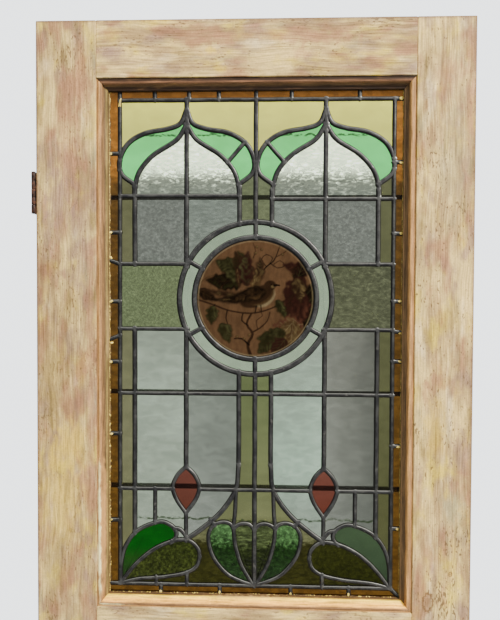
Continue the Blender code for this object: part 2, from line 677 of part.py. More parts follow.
def border_leads():
    """The short ties of the amber border, from the field out to the light's edge, in millimetres."""
    left, right, bottom, top = (value * 1000 for value in light_outline())
    inset = EDGE_CAME * 1000 / 2
    outer_x = {-1: left + inset, 1: right - inset}
    leads = []
    for side, ties in BORDER_TIES.items():
        for outer, inner in ties:
            start = in_field((side * DRAWN_HALF, inner))
            leads.append([start, Vector((outer_x[side], in_field((0, outer)).y))])
    for x in TOP_TIES:
        start = in_field((x, 0))
        leads.append([start, Vector((start.x, top - inset))])
    for x in BOTTOM_TIES:
        start = in_field((x, DRAWN_HEIGHT))
        leads.append([start, Vector((start.x, bottom + inset))])
    top_left, top_right = in_field((-DRAWN_HALF, 0)), in_field((DRAWN_HALF, 0))
    foot_left, foot_right = in_field((-DRAWN_HALF, DRAWN_HEIGHT)), in_field((DRAWN_HALF, DRAWN_HEIGHT))
    leads.append([top_left, Vector((top_left.x, top - inset))])
    leads.append([top_right, Vector((outer_x[1], top_right.y))])
    leads.append([foot_left, Vector((outer_x[-1], foot_left.y))])
    leads.append([foot_right, Vector((outer_x[1], bottom + inset))])
    return leads


def edge_leads():
    """The came round the light's edge, four lengths that lap at the corners, in millimetres."""
    left, right, bottom, top = (value * 1000 for value in light_outline())
    inset = EDGE_CAME * 1000 / 2
    corners = [Vector(p) for p in ((left, bottom), (right, bottom), (right, top), (left, top))]
    inward = [Vector((0, inset)), Vector((-inset, 0)), Vector((0, -inset)), Vector((inset, 0))]
    return [[corners[i] + inward[i], corners[(i + 1) % 4] + inward[i]] for i in range(4)]


def lead_ribbons(extra, with_open=True):
    """Every lead as (outline, glass runs under it), `extra` metres wider on each side."""
    ribbons = []
    for points, width, open_ in side_leads(-1) + side_leads(1) + middle_leads():
        if with_open or not open_:
            ribbons.append((ribbon([in_field(p) for p in points], width + 2 * extra), open_))
    if with_open:
        ribbons += [(ribbon(points, NARROW_CAME), True) for points in border_leads()]
    return ribbons + [(ribbon(points, EDGE_CAME + 2 * extra), False) for points in edge_leads()]


CLEAR, OPEN, SOLID = range(3)


def inside(point, outline):
    crossings = 0
    for a, b in zip(outline, outline[1:] + outline[:1]):
        if (a.y > point.y) != (b.y > point.y):
            if point.x < a.x + (point.y - a.y) * (b.x - a.x) / (b.y - a.y):
                crossings += 1
    return crossings % 2 == 1


def kind_at(point, boxed):
    """SOLID in a lead, OPEN where glass runs under the lead, else CLEAR."""
    kind = CLEAR
    for outline, open_, low, high in boxed:
        if low.x <= point.x <= high.x and low.y <= point.y <= high.y and inside(point, outline):
            if not open_:
                return SOLID
            kind = OPEN
    return kind


def edge_owners(triangles):
    owners = {}
    for index, triangle in enumerate(triangles):
        for i in range(3):
            key = frozenset((triangle[i], triangle[(i + 1) % 3]))
            owners.setdefault(key, []).append(index)
    return owners


def plan_of(ribbons):
    """The light's plan as (points, triangles, kinds), with vertices only on the leads' edges."""
    left, right, bottom, top = (value * 1000 for value in light_outline())
    frame = [Vector(p) for p in ((left, bottom), (right, bottom), (right, top), (left, top))]
    points, edges = frame[:], [(i, (i + 1) % 4) for i in range(4)]
    boxed = []
    for outline, open_ in ribbons:
        outline = [Vector((min(max(p.x, left), right), min(max(p.y, bottom), top))) for p in outline]
        low = Vector((min(p.x for p in outline), min(p.y for p in outline)))
        high = Vector((max(p.x for p in outline), max(p.y for p in outline)))
        boxed.append((outline, open_, low, high))
        first = len(points)
        points += outline
        edges += [(first + i, first + (i + 1) % len(outline)) for i in range(len(outline))]
    points, triangles, kinds = sorted_plan(points, edges, boxed)
    kept, edges = {}, []
    for key, owners in edge_owners(triangles).items():
        if len(owners) == 1 or kinds[owners[0]] != kinds[owners[1]]:
            edges.append([kept.setdefault(i, len(kept)) for i in key])
    return sorted_plan([points[i] for i in kept], edges, boxed)


def sorted_plan(points, edges, boxed):
    """The plan within those edges as (points, triangles, kinds)."""
    points, _, triangles, *_ = delaunay_2d_cdt(points, edges, [], 0, 0.01)
    kinds = [kind_at(sum((points[i] for i in t), Vector((0, 0))) / 3, boxed) for t in triangles]
    fill_small_gaps(points, triangles, kinds)
    return points, triangles, kinds


def patches(triangles, kinds, wanted):
    """Groups of triangles of the wanted kinds that share edges."""
    neighbours = {}
    for owners in edge_owners(triangles).values():
        if len(owners) == 2:
            neighbours.setdefault(owners[0], []).append(owners[1])
            neighbours.setdefault(owners[1], []).append(owners[0])
    left = {i for i, kind in enumerate(kinds) if kind in wanted}
    while left:
        todo = [left.pop()]
        patch = []
        while todo:
            here = todo.pop()
            patch.append(here)
            for other in neighbours.get(here, ()):
                if other in left:
                    left.remove(other)
                    todo.append(other)
        yield patch


def area(points, triangle):
    a, b, c = (points[i] for i in triangle)
    return abs((b - a).cross(c - a)) / 2


def fill_small_gaps(points, triangles, kinds):
    """Solder closes a gap too small for a pane, like the leads it lies between."""
    owners = edge_owners(triangles).values()
    for patch in list(patches(triangles, kinds, (CLEAR,))):
        if sum(area(points, triangles[i]) for i in patch) < SMALLEST_PANE * 1e6:
            beside = {kinds[i] for pair in owners for i in pair if set(pair) & set(patch)}
            for i in patch:
                kinds[i] = OPEN if OPEN in beside else SOLID


def layered_mesh(points, triangles, kinds, levels):
    """A closed mesh of the plan's leads: whole where SOLID, two thin flanges where OPEN."""
    bm = bmesh.new()
    verts = {}

    def vert(i, level):
        if (i, level) not in verts:
            verts[i, level] = bm.verts.new((points[i].x / 1000, levels[level], points[i].y / 1000))
        return verts[i, level]

    def wall(a, b, low, high):
        """A wall from a to b between two levels, split where either end has a vertex between them."""
        between = range(low + 1, high)
        steps = [[low] + [level for level in between if level in used[i]] + [high] for i in (a, b)]
        for level, above in zip(steps[0], steps[0][1:]):
            if steps[0] == steps[1]:
                bm.faces.new((vert(a, level), vert(b, level), vert(b, above), vert(a, above)))
            else:
                bm.faces.new((vert(a, level), vert(b, low), vert(a, above)))
        if steps[0] != steps[1]:
            for level, above in zip(steps[1], steps[1][1:]):
                bm.faces.new((vert(b, level), vert(b, above), vert(a, high)))

    used = {i: set() for i in range(len(points))}
    for triangle, kind in zip(triangles, kinds):
        if kind == OPEN:
            for i in triangle:
                used[i].update((1, 2))
    for triangle, kind in zip(triangles, kinds):
        if kind == CLEAR:
            continue
        for level in (0, 3) if kind == SOLID else (0, 1, 2, 3):
            bm.faces.new([vert(i, level) for i in triangle])
    for key, owners in edge_owners(triangles).items():
        a, b = key
        here = {kinds[i] for i in owners} | ({CLEAR} if len(owners) == 1 else set())
        if here == {SOLID, CLEAR}:
            wall(a, b, 0, 3)
        elif here == {OPEN, CLEAR}:
            wall(a, b, 0, 1)
            wall(a, b, 2, 3)
        elif here == {SOLID, OPEN}:
            wall(a, b, 1, 2)
    bmesh.ops.recalc_face_normals(bm, faces=bm.faces)
    return bm


def make_leadwork(door):
    levels = (LEAD_FRONT, LEAD_FRONT + FLANGE_THICKNESS, LEAD_BACK - FLANGE_THICKNESS, LEAD_BACK)
    points, triangles, kinds = plan_of(lead_ribbons(0.0))
    bm = layered_mesh(points, triangles, kinds, levels)
    add_object("lead_cames", bm, "lead", door)


def make_panes(door):
    """Each pane fills its opening in the leads and runs under the leads that are open to it."""
    points, triangles, kinds = plan_of(lead_ribbons(GAP, with_open=False))
    for patch in patches(triangles, kinds, (CLEAR,)):
        corners = [[points[i] for i in triangles[t]] for t in patch]
        for name, seed in PANES.items():
            if any(inside(in_field(seed), corner) for corner in corners):
                bm = sheet_mesh(points, [triangles[t] for t in patch])
                add_object(name, bm, glass_finish(name), door)
                break


def sheet_mesh(points, triangles):
    """A sheet of glass over those triangles of the plan."""
    bm = bmesh.new()
    levels = []
    for y in (GLASS_FRONT, GLASS_BACK):
        used = sorted({i for triangle in triangles for i in triangle})
        levels.append({i: bm.verts.new((points[i].x / 1000, y, points[i].y / 1000)) for i in used})
        for triangle in triangles:
            bm.faces.new([levels[-1][i] for i in triangle])
    for key, owners in edge_owners(triangles).items():
        if len(owners) == 1:
            a, b = key
            bm.faces.new((levels[0][a], levels[0][b], levels[1][b], levels[1][a]))
    bmesh.ops.recalc_face_normals(bm, faces=bm.faces)
    return bm


def main():
    clear_scene()
    jamb = bpy.data.objects.new("jamb_side", None)
    door = bpy.data.objects.new("door_swing", None)
    for empty in (jamb, door):
        empty.location = AXIS
        bpy.context.collection.objects.link(empty)
    make_frame(door)
    make_mouldings(door)
    make_hinges(door, jamb)
    make_leadwork(door)
    make_panes(door)


main()
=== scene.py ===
"""The dressed model of a half-glazed pine door: its stripped timber, leaded light and rusty hinges.

Metres, +Z up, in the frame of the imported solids. The front of the door looks along -Y."""

import math
import random

import bpy
import numpy as np
from mathutils import Matrix, Vector
from mathutils.geometry import delaunay_2d_cdt


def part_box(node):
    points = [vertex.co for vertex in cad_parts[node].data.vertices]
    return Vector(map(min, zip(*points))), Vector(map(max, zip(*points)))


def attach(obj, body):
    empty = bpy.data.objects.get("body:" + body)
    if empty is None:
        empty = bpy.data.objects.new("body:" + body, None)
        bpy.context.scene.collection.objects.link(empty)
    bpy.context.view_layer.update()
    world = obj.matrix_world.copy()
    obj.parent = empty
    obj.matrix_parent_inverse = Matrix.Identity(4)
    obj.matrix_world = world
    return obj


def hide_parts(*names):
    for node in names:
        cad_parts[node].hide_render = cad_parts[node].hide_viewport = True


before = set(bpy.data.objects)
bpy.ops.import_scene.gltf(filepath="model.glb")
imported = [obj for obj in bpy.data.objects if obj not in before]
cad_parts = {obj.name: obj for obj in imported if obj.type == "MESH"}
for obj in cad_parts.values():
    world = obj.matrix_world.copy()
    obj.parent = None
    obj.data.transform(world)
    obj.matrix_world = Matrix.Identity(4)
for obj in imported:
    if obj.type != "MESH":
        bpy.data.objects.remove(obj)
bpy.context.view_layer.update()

# Where the solids stand.
LEFT, FRONT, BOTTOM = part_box("stile_hinge")[0]
RIGHT, _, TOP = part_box("stile_lock")[1]
INNER_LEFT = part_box("stile_hinge")[1].x
INNER_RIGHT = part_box("stile_lock")[0].x
GLAZED_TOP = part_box("rail_top")[0].z
GLAZED_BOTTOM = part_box("rail_lock")[1].z
PANEL_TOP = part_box("rail_lock")[0].z
PANEL_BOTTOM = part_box("rail_bottom")[1].z
LEAD_FRONT, LEAD_BACK = (corner.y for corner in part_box("lead_cames"))
GLASS_FRONT, GLASS_BACK = (corner.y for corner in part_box("glass_border"))
LIGHT_LEFT, LIGHT_RIGHT = (corner.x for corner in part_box("lead_cames"))
LIGHT_BOTTOM, LIGHT_TOP = (corner.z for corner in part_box("lead_cames"))
LIGHT_MIDDLE = (LEAD_FRONT + LEAD_BACK) / 2

# The leadwork is drawn in millimetres from the middle of its field's top edge, x to the right, z down.
DRAWN_HALF, DRAWN_HEIGHT = 258.0, 923.0
FIELD_LEFT, FIELD_RIGHT = INNER_LEFT + 0.0400, INNER_RIGHT - 0.0365
FIELD_TOP, FIELD_BOTTOM = GLAZED_TOP - 0.0360, GLAZED_BOTTOM + 0.0360
EDGE, BROAD, MIDDLE, NARROW = 9.0, 9.0, 7.4, 6.2
STRIP, ARCH, MULLION = 229.5, 131.0, 30.5
SPRING = {-1: 180.0, 1: 186.0}
BUD_STRETCH = {-1: 1.0, 1: 1.05}
SQUARE_TOP, SQUARE_BOTTOM = 308.5, 432.0
CROSS, FOOT = 555.0, 738.5
RING_DROP, RING_OUTER, RING_INNER = 373.5, 144.0, 115.5
SPOKE_ANGLE = 29.0
OGEE_OUTER = ((1, 20), (12, 44), (38, 54), (80, 62), (112, 82), (127, 112), (124, 138), (99.5, 158))
OGEE_INNER = ((1, 48), (20, 75), (62, 102), (88, 131), (98, 160), (99.5, 182))
BUD = ((0, 696), (9, 703.5), (18.5, 715), (25.5, 735), (18, 759), (0, 785))
STEM = ((30.5, 690), (36, 738.5), (64, 782), (102, 816), (129, 835))
LEAF_UPPER = ((257, 921), (256, 885), (247, 850), (224, 820), (184, 803), (162, 808), (151, 819), (150, 831), (159, 842))
LEAF_LOWER_TOP = ((257, 923), (229, 887), (196, 858), (158, 840), (126, 838), (108, 853), (104.5, 869))
LEAF_LOWER_FOOT = ((257, 923), (222, 914), (172, 909), (132, 901), (111, 888), (104.5, 869))
PETAL_SIDE = (
    (40, 812), (47, 804), (62, 801.5), (79, 809), (88, 830), (80, 866), (54, 899), (24, 915), (3, 921)
)
PETAL_SEAM = ((40, 810), (37, 842), (27, 878), (12, 906), (2, 921))
PETAL_TOP = ((0, 815), (8, 806), (19, 803), (31, 806), (40, 813))
BORDER_TIES = {
    -1: ((100, 100), (249, 249), (297, 309), (380, 380), (458, 445), (495, 495), (633, 633), (800, 800)),
    1: ((118, 118), (251, 251), (378, 378), (438, 434), (491, 491), (651, 651), (808, 808)),
}
TOP_TIES = (-191.5, -126.5, -70.5, 0.0, 66.5, 193.5)
BOTTOM_TIES = (-179.0, -66.0, 69.5, 179.5)
CURVE_STEP = 4.0
CEMENT_MARGIN = 0.0009

hand = random.Random(7)


# The bench: picking pieces up and setting them down.


def clear_bench():
    if bpy.context.object and bpy.context.object.mode != "OBJECT":
        bpy.ops.object.mode_set(mode="OBJECT")
    bpy.ops.object.select_all(action="DESELECT")


def pick(*pieces):
    """Only these pieces selected, the first one active."""
    clear_bench()
    for piece in pieces:
        piece.select_set(True)
    bpy.context.view_layer.objects.active = pieces[0]


def fix_place(piece):
    pick(piece)
    bpy.ops.object.transform_apply(location=True, rotation=True, scale=True)


def join(pieces, name):
    pick(*pieces)
    if len(pieces) > 1:
        bpy.ops.object.join()
    piece = bpy.context.object
    piece.name = piece.data.name = name
    return piece


def copy_of(piece):
    """A copy with a mesh of its own."""
    twin = piece.copy()
    twin.data = piece.data.copy()
    bpy.context.collection.objects.link(twin)
    return twin


def smooth(piece, angle=35):
    pick(piece)
    bpy.ops.object.shade_smooth_by_angle(angle=math.radians(angle))


def set_down(piece, name, material, body="door", stands_for=()):
    """The finished piece under its own name, with its finish, riding on its body."""
    piece.name = piece.data.name = name
    piece.data.materials.clear()
    piece.data.materials.append(material)
    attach(piece, body)
    if stands_for:
        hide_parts(*stands_for)
    return piece


# The leadwork's drawing.


def on_door(point):
    """A drawn point's place on the door, as (x, z) in metres."""
    x = (FIELD_LEFT + FIELD_RIGHT) / 2 + point[0] / DRAWN_HALF * (FIELD_RIGHT - FIELD_LEFT) / 2
    return Vector((x, FIELD_TOP - point[1] / DRAWN_HEIGHT * (FIELD_TOP - FIELD_BOTTOM)))


def curve_through(points, step=CURVE_STEP):
    """A smooth line through the drawn points."""
    points = [Vector(p) for p in points]
    ends = [2 * points[0] - points[1]] + points + [2 * points[-1] - points[-2]]
    line = [points[0]]
    for a, b, c, d in zip(ends, ends[1:], ends[2:], ends[3:]):
        steps = max(1, round((c - b).length / step))
        square, cube = 2 * a - 5 * b + 4 * c - d, 3 * b - a - 3 * c + d
        for i in range(1, steps + 1):
            t = i / steps
            line.append(0.5 * (2 * b + (c - a) * t + square * t**2 + cube * t**3))
    return line


def ring_line(radius, start, stop, sides):
    """A stretch of the drawn ring, angles in degrees from the right, anticlockwise."""
    angles = [math.radians(start + (stop - start) * i / sides) for i in range(sides + 1)]
    return [(radius * math.cos(a), RING_DROP - radius * math.sin(a)) for a in angles]


def ring_height(x):
    return math.sqrt(RING_OUTER**2 - x**2)


def side_leads(side):
    """The leads of one half of the drawing, as (points, width)."""
    spring = SPRING[side]
    bud = [(x, BUD[0][1] + (z - BUD[0][1]) * BUD_STRETCH[side]) for x, z in BUD]
    inner = OGEE_INNER[:-1] + ((OGEE_INNER[-1][0], spring),)
    ring_side = math.sqrt(RING_OUTER**2 - (RING_DROP - SQUARE_TOP) ** 2)
    leads = [
        (((DRAWN_HALF, 0), (DRAWN_HALF, DRAWN_HEIGHT)), NARROW),
        (((STRIP, spring - 18), (STRIP, SQUARE_TOP)), MIDDLE),
        (((STRIP, SQUARE_BOTTOM), (STRIP, 824)), MIDDLE),
        (((ARCH, 0), (ARCH, 28)), MIDDLE),
        (((ARCH, 24), (ARCH, 60)), BROAD),
        (((ARCH, 56), (ARCH, RING_DROP - ring_height(ARCH))), MIDDLE),
        (((ARCH, RING_DROP + ring_height(ARCH)), (ARCH, bud[0][1])), MIDDLE),
        (((ARCH, bud[-1][1]), (ARCH, 838)), NARROW),
        (((DRAWN_HALF, spring), (MULLION, spring)), NARROW),
        (((DRAWN_HALF, SQUARE_TOP), (ring_side, SQUARE_TOP)), NARROW),
        (((DRAWN_HALF, SQUARE_BOTTOM), (ring_side, SQUARE_BOTTOM)), NARROW),
        (((MULLION, spring - 18), (MULLION, RING_DROP - ring_height(MULLION))), MIDDLE),
        (((DRAWN_HALF, FOOT), (ARCH + bud[3][0], FOOT)), NARROW),
        (((ARCH - bud[3][0], FOOT), (0, FOOT)), NARROW),
        (((DRAWN_HALF, CROSS), (0, CROSS)), NARROW),
        (((190.5, FOOT), (190.5, 803)), NARROW),
        (((20.5, 79), (53.5, 117)), NARROW),
        (curve_through(((35.5, 736), (37, 780), (40, 810))), NARROW),
        (curve_through(((153, 815), (142, 817), (ARCH, 829))), NARROW),
        (((84, 798), (76, 807)), MIDDLE),
        (((129, 902), (129, DRAWN_HEIGHT)), NARROW),
        (((MULLION, RING_DROP + ring_height(MULLION)), (MULLION, 692)), MIDDLE),
        (curve_through(STEM), MIDDLE),
        (curve_through(LEAF_UPPER), NARROW),
        (curve_through(LEAF_LOWER_TOP), NARROW),
        (curve_through(LEAF_LOWER_FOOT), NARROW),
        (curve_through(PETAL_SIDE), NARROW),
        (curve_through(PETAL_SEAM), NARROW),
        (curve_through(PETAL_TOP), NARROW),
    ]
    for turn in (-1, 1):
        leads.append((curve_through([(ARCH + turn * x, z) for x, z in OGEE_OUTER]), MIDDLE))
        leads.append((curve_through([(ARCH + turn * x, z) for x, z in inner]), MIDDLE))
        leads.append((curve_through([(ARCH + turn * x, z) for x, z in bud]), NARROW))
        angle = math.radians(turn * SPOKE_ANGLE)
        spoke = [(r * math.cos(angle), RING_DROP - r * math.sin(angle)) for r in (RING_INNER, RING_OUTER)]
        leads.append((spoke, MIDDLE))
    return [([(side * x, z) for x, z in points], width) for points, width in leads]


def middle_leads():
    """The leads that cross or follow the middle of the drawing, as (points, width)."""
    top, foot = RING_DROP - RING_OUTER, RING_DROP + RING_OUTER
    leads = [
        (((-DRAWN_HALF, 0), (DRAWN_HALF, 0)), NARROW),
        (((-DRAWN_HALF, DRAWN_HEIGHT), (DRAWN_HALF, DRAWN_HEIGHT)), NARROW),
        (((0, 0), (0, top)), MIDDLE),
        (((0, top), (0, RING_DROP - RING_INNER)), MIDDLE),
        (((0, RING_DROP + RING_INNER), (0, foot)), MIDDLE),
        (((0, foot), (0, DRAWN_HEIGHT)), MIDDLE),
        (((-188, 910), (-188, DRAWN_HEIGHT)), NARROW),
    ]
    for radius in (RING_OUTER, RING_INNER):
        leads.append((ring_line(radius, 0, 360, round(2 * math.pi * radius / CURVE_STEP)), BROAD))
    return leads


def border_leads():
    """The short ties of the border and the came round the light's edge, as (points on the door, width)."""
    inset = EDGE / 2000
    outer_x = {-1: LIGHT_LEFT + inset, 1: LIGHT_RIGHT - inset}
    top, bottom = LIGHT_TOP - inset, LIGHT_BOTTOM + inset
    leads = []
    for side, ties in BORDER_TIES.items():
        for outer, inner in ties:
            start = on_door((side * DRAWN_HALF, inner))
            leads.append(([start, Vector((outer_x[side], on_door((0, outer)).y))], NARROW))
    for x in TOP_TIES:
        start = on_door((x, 0))
        leads.append(([start, Vector((start.x, top))], NARROW))
    for x in BOTTOM_TIES:
        start = on_door((x, DRAWN_HEIGHT))
        leads.append(([start, Vector((start.x, bottom))], NARROW))
    top_left, top_right = on_door((-DRAWN_HALF, 0)), on_door((DRAWN_HALF, 0))
    foot_left, foot_right = on_door((-DRAWN_HALF, DRAWN_HEIGHT)), on_door((DRAWN_HALF, DRAWN_HEIGHT))
    leads.append(([top_left, Vector((top_left.x, top))], NARROW))
    leads.append(([top_right, Vector((outer_x[1], top_right.y))], NARROW))
    leads.append(([foot_left, Vector((outer_x[-1], foot_left.y))], NARROW))
    leads.append(([foot_right, Vector((outer_x[1], bottom))], NARROW))
    corners = [Vector(p) for p in ((outer_x[-1], bottom), (outer_x[1], bottom), (outer_x[1], top), (outer_x[-1], top))]
    for i in range(4):
        leads.append(([corners[i], corners[(i + 1) % 4]], EDGE))
    return leads


def all_leads():
    """Every lead as (points on the door, width in millimetres)."""
    drawn = side_leads(-1) + side_leads(1) + middle_leads()
    return [([on_door(p) for p in points], width) for points, width in drawn] + border_leads()


# The leads: cames with domed flanges and a heart between them, and solder where they meet.


def came_section(width):
    """The section of a came that wide, as a flat closed curve."""
    half, heart = width / 2000, 0.0006
    seat, face = (GLASS_BACK - GLASS_FRONT) / 2 + 0.0001, (LEAD_BACK - LEAD_FRONT) / 2 - 0.0001
    flange = [(heart, seat), (half, seat), (half, seat + 0.0002), (0.93 * half, seat + 0.0005)]
    flange += [(0.79 * half, seat + 0.00085), (0.56 * half, seat + 0.00112), (0.28 * half, seat + 0.00126)]
    front = flange + [(0, face)] + [(-x, y) for x, y in reversed(flange)]
    return section_curve(front + [(-x, -y) for x, y in front])


def cement_section(width):
    """The section of the cement squeezed out from under a came that wide, on both faces of the glass. Its near-black
    finish is partly the cement's own colour and partly painted shade beside the leads.
    """
    half, face = width / 2000 + CEMENT_MARGIN, (GLASS_BACK - GLASS_FRONT) / 2 + 0.00035
    front = [(half, face - 0.0003), (half - 0.0004, face), (-half + 0.0004, face), (-half, face - 0.0003)]
    return section_curve(front + [(-x, -y) for x, y in front])


def section_curve(outline):
    """A flat closed curve with that outline."""
    clear_bench()
    bpy.ops.curve.primitive_nurbs_path_add()
    section = bpy.context.object
    section.data.splines.clear()
    section.data.dimensions = "2D"
    section.data.fill_mode = "NONE"
    spline = section.data.splines.new("POLY")
    spline.points.add(len(outline) - 1)
    for point, (x, y) in zip(spline.points, outline):
        point.co = (x, y, 0, 1)
    spline.use_cyclic_u = True
    return section


def handled(line, step=0.012):
    """The line with the slight waver of lead stretched and dressed by hand."""
    walked, phase = [], hand.uniform(0, 6.3)
    run = 0.0
    for a, b in zip(line, line[1:]):
        steps = max(1, round((b - a).length / step))
        across = Vector((a.y - b.y, b.x - a.x)).normalized()
        for i in range(steps):
            spot = a.lerp(b, i / steps)
            waver = 0.00016 * math.sin(run * 47 + phase) + 0.00010 * math.sin(run * 131 + 2 * phase)
            walked.append(spot + across * waver)
            run += (b - a).length / steps
    return walked + [line[-1]]


def lay_cames(name, lines, section):
    """Lengths of one section along those lines on the door."""
    clear_bench()
    bpy.ops.curve.primitive_nurbs_path_add(location=(0, LIGHT_MIDDLE, 0), rotation=(math.pi / 2, 0, 0))
    cames = bpy.context.object
    cames.data.splines.clear()
    cames.data.dimensions = "2D"
    cames.data.fill_mode = "NONE"
    for line in lines:
        closed = (line[0] - line[-1]).length < 1e-6
        walked = handled(line)[: -1 if closed else None]
        spline = cames.data.splines.new("POLY")
        spline.points.add(len(walked) - 1)
        for point, spot in zip(spline.points, walked):
            point.co = (spot.x, spot.y, 0, 1)
        spline.use_cyclic_u = closed
    cames.data.bevel_mode = "OBJECT"
    cames.data.bevel_object = section
    cames.data.use_fill_caps = True
    pick(cames)
    bpy.ops.object.convert(target="MESH")
    bpy.data.objects.remove(section)
    fix_place(cames)
    cames.name = name
    return cames


def solder_lump(pattern, spot, length, width, turn, face):
    """One flattened lump of solder on a face of the light (-1 front, 1 back)."""
    lump = copy_of(pattern)
    rise = 0.0007
    lump.scale = (length / 2, rise, width / 2)
    lump.rotation_euler = (0, -turn, 0)
    lump.location = (spot.x, LIGHT_MIDDLE + face * ((LEAD_BACK - LEAD_FRONT) / 2 - rise - 0.00002), spot.y)
    return lump


def solder_joints(leads, joints, fillings):
    """Solder at every end and crossing, with the fillings of the smallest gaps between the leads."""
    clear_bench()
    bpy.ops.mesh.primitive_uv_sphere_add(segments=10, ring_count=6, radius=1.0, rotation=(math.pi / 2, 0, 0))
    pattern = bpy.context.object
    fix_place(pattern)
    lumps = list(fillings)
    for line, width in leads:
        if (line[0] - line[-1]).length < 1e-6:
            continue
        for end, inner in ((line[0], line[1]), (line[-1], line[-2])):
            along = (inner - end).normalized()
            spot = end + along * 0.0015
            for face in (-1, 1):
                length, across = hand.uniform(0.0105, 0.0145), width / 1000 * hand.uniform(1.08, 1.3)
                lumps.append(solder_lump(pattern, spot, length, across, math.atan2(along.y, along.x), face))
    for spot, width in joints:
        for face in (-1, 1):
            size = width / 1000 * hand.uniform(1.15, 1.4)
            lumps.append(solder_lump(pattern, spot, size * 1.15, size, hand.uniform(0, 3.1), face))
    bpy.data.objects.remove(pattern)
    solder = join(lumps, "solder_joints")
    fix_place(solder)
    return solder


# The plan of the light: where the leads' middle lines meet, and the panes between them.

SMALLEST_PANE = 60.0
FUSED = (((-5, 116), (0, 116)), ((0, 116), (5, 116)))


def plan_of(leads):
    """The light's plan in millimetres, as (spots, regions of triangles, joints with their widths)."""
    points, edges, widths = [], [], []
    fused = [([on_door(p) for p in line], NARROW) for line in FUSED]
    for line, width in leads + fused:
        first = len(points)
        reach = 0 if width == EDGE or (line[0] - line[-1]).length < 1e-6 else 0.003
        start = line[0] + (line[0] - line[1]).normalized() * reach
        stop = line[-1] + (line[-1] - line[-2]).normalized() * reach
        run = [start] + line[1:-1] + [stop]
        points += [p * 1000 for p in run]
        edges += [(first + i, first + i + 1) for i in range(len(run) - 1)]
        widths += [width] * (len(run) - 1)
    spots, sides, triangles, _, origins, _ = delaunay_2d_cdt(points, edges, [], 0, 0.02)
    drawn = {}
    for side, origin in zip(sides, origins):
        if origin:
            drawn[frozenset(side)] = max(widths[i] for i in origin if i < len(widths))
    meeting = {}
    for side, width in drawn.items():
        for i in side:
            meeting.setdefault(i, []).append(width)
    joints = []
    for i, met in meeting.items():
        if len(met) > 2 and all((spots[i] / 1000 - spot).length > 0.004 for spot, _ in joints):
            joints.append((spots[i] / 1000, max(met)))
    return spots, regions_of(triangles, drawn), joints


def regions_of(triangles, drawn):
    """Groups of triangles that no drawn line parts."""
    beside = {}
    for t, triangle in enumerate(triangles):
        for i in range(3):
            beside.setdefault(frozenset((triangle[i], triangle[(i + 1) % 3])), []).append(t)
    near = {}
    for side, pair in beside.items():
        if len(pair) == 2 and side not in drawn:
            near.setdefault(pair[0], []).append(pair[1])
            near.setdefault(pair[1], []).append(pair[0])
    left, regions = set(range(len(triangles))), []
    while left:
        todo, region = [min(left)], []
        left.discard(todo[0])
        while todo:
            here = todo.pop()
            region.append(triangles[here])
            for other in near.get(here, ()):
                if other in left:
                    left.discard(other)
                    todo.append(other)
        regions.append(region)
    return regions


def signed_area(spots, loop):
    return sum(spots[a].cross(spots[b]) for a, b in zip(loop, loop[1:] + loop[:1])) / 2


def outline_of(region, spots):
    """The longest closed edge of a region, anticlockwise."""
    following = {(triangle[i], triangle[(i + 1) % 3]) for triangle in region for i in range(3)}
    border = [(a, b) for a, b in sorted(following) if (b, a) not in following]
    after = {}
    for a, b in border:
        after.setdefault(a, []).append(b)
    loops = []
    while any(after.values()):
        start = next(a for a, out in after.items() if out)
        loop, here = [], start
        while after.get(here):
            loop.append(here)
            here = after[here].pop()
            if here == start:
                break
        loops.append(loop)
    return max(loops, key=lambda loop: signed_area(spots, loop))


def drawn_in(outline, margin):
    """The outline moved in by the margin, millimetres."""
    moved = []
    for before, here, after in zip(outline[-1:] + outline[:-1], outline, outline[1:] + outline[:1]):
        first, second = (here - before).normalized(), (after - here).normalized()
        inward = Vector((-first.y - second.y, first.x + second.x))
        if inward.length < 1e-3:
            inward = Vector((-first.y, first.x))
        inward.normalize()
        reach = margin / max(0.45, inward.dot(Vector((-first.y, first.x))))
        moved.append(here + inward * reach)
    return moved


def cut_sheet(name, outline, front, back):
    """A flat sheet with that outline on the door, from the front plane to the back plane."""
    clear_bench()
    bpy.ops.mesh.primitive_circle_add(vertices=len(outline), fill_type="NGON", location=(0, 0, 0))
    sheet = bpy.context.object
    sheet.name = name
    for vertex, spot in zip(sheet.data.vertices, outline):
        vertex.co = (spot.x / 1000, front, spot.y / 1000)
    bpy.ops.object.mode_set(mode="EDIT")
    bpy.ops.mesh.select_all(action="SELECT")
    bpy.ops.mesh.extrude_region_move(TRANSFORM_OT_translate={"value": (0, back - front, 0)})
    bpy.ops.mesh.select_all(action="SELECT")
    bpy.ops.mesh.normals_make_consistent(inside=False)
    bpy.ops.object.mode_set(mode="OBJECT")
    return sheet


def area_of(spots, triangle):
    a, b, c = (spots[i] for i in triangle)
    return abs((b - a).cross(c - a)) / 2


def glass_node_at(spot, faces):
    """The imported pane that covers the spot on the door, or else lies nearest to it."""
    nearest = None
    for name, triangles in faces.items():
        for a, b, c in triangles:
            turns = [(b - a).cross(spot - a), (c - b).cross(spot - b), (a - c).cross(spot - c)]
            if min(turns) >= 0 or max(turns) <= 0:
                return name
            away = min((corner - spot).length for corner in (a, b, c))
            if nearest is None or away < nearest[0]:
                nearest = (away, name)
    return nearest[1]


def glass_faces():
    """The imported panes' front faces, as triangles on the door."""
    faces = {}
    for name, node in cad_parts.items():
        if not name.startswith("glass_") or "moulding" in name:
            continue
        mesh = node.data
        for polygon in mesh.polygons:
            corners = [mesh.vertices[i].co for i in polygon.vertices]
            if max(corner.y for corner in corners) < GLASS_FRONT + 0.0002:
                faces.setdefault(name, []).append([Vector((c.x, c.z)) for c in corners])
    return faces


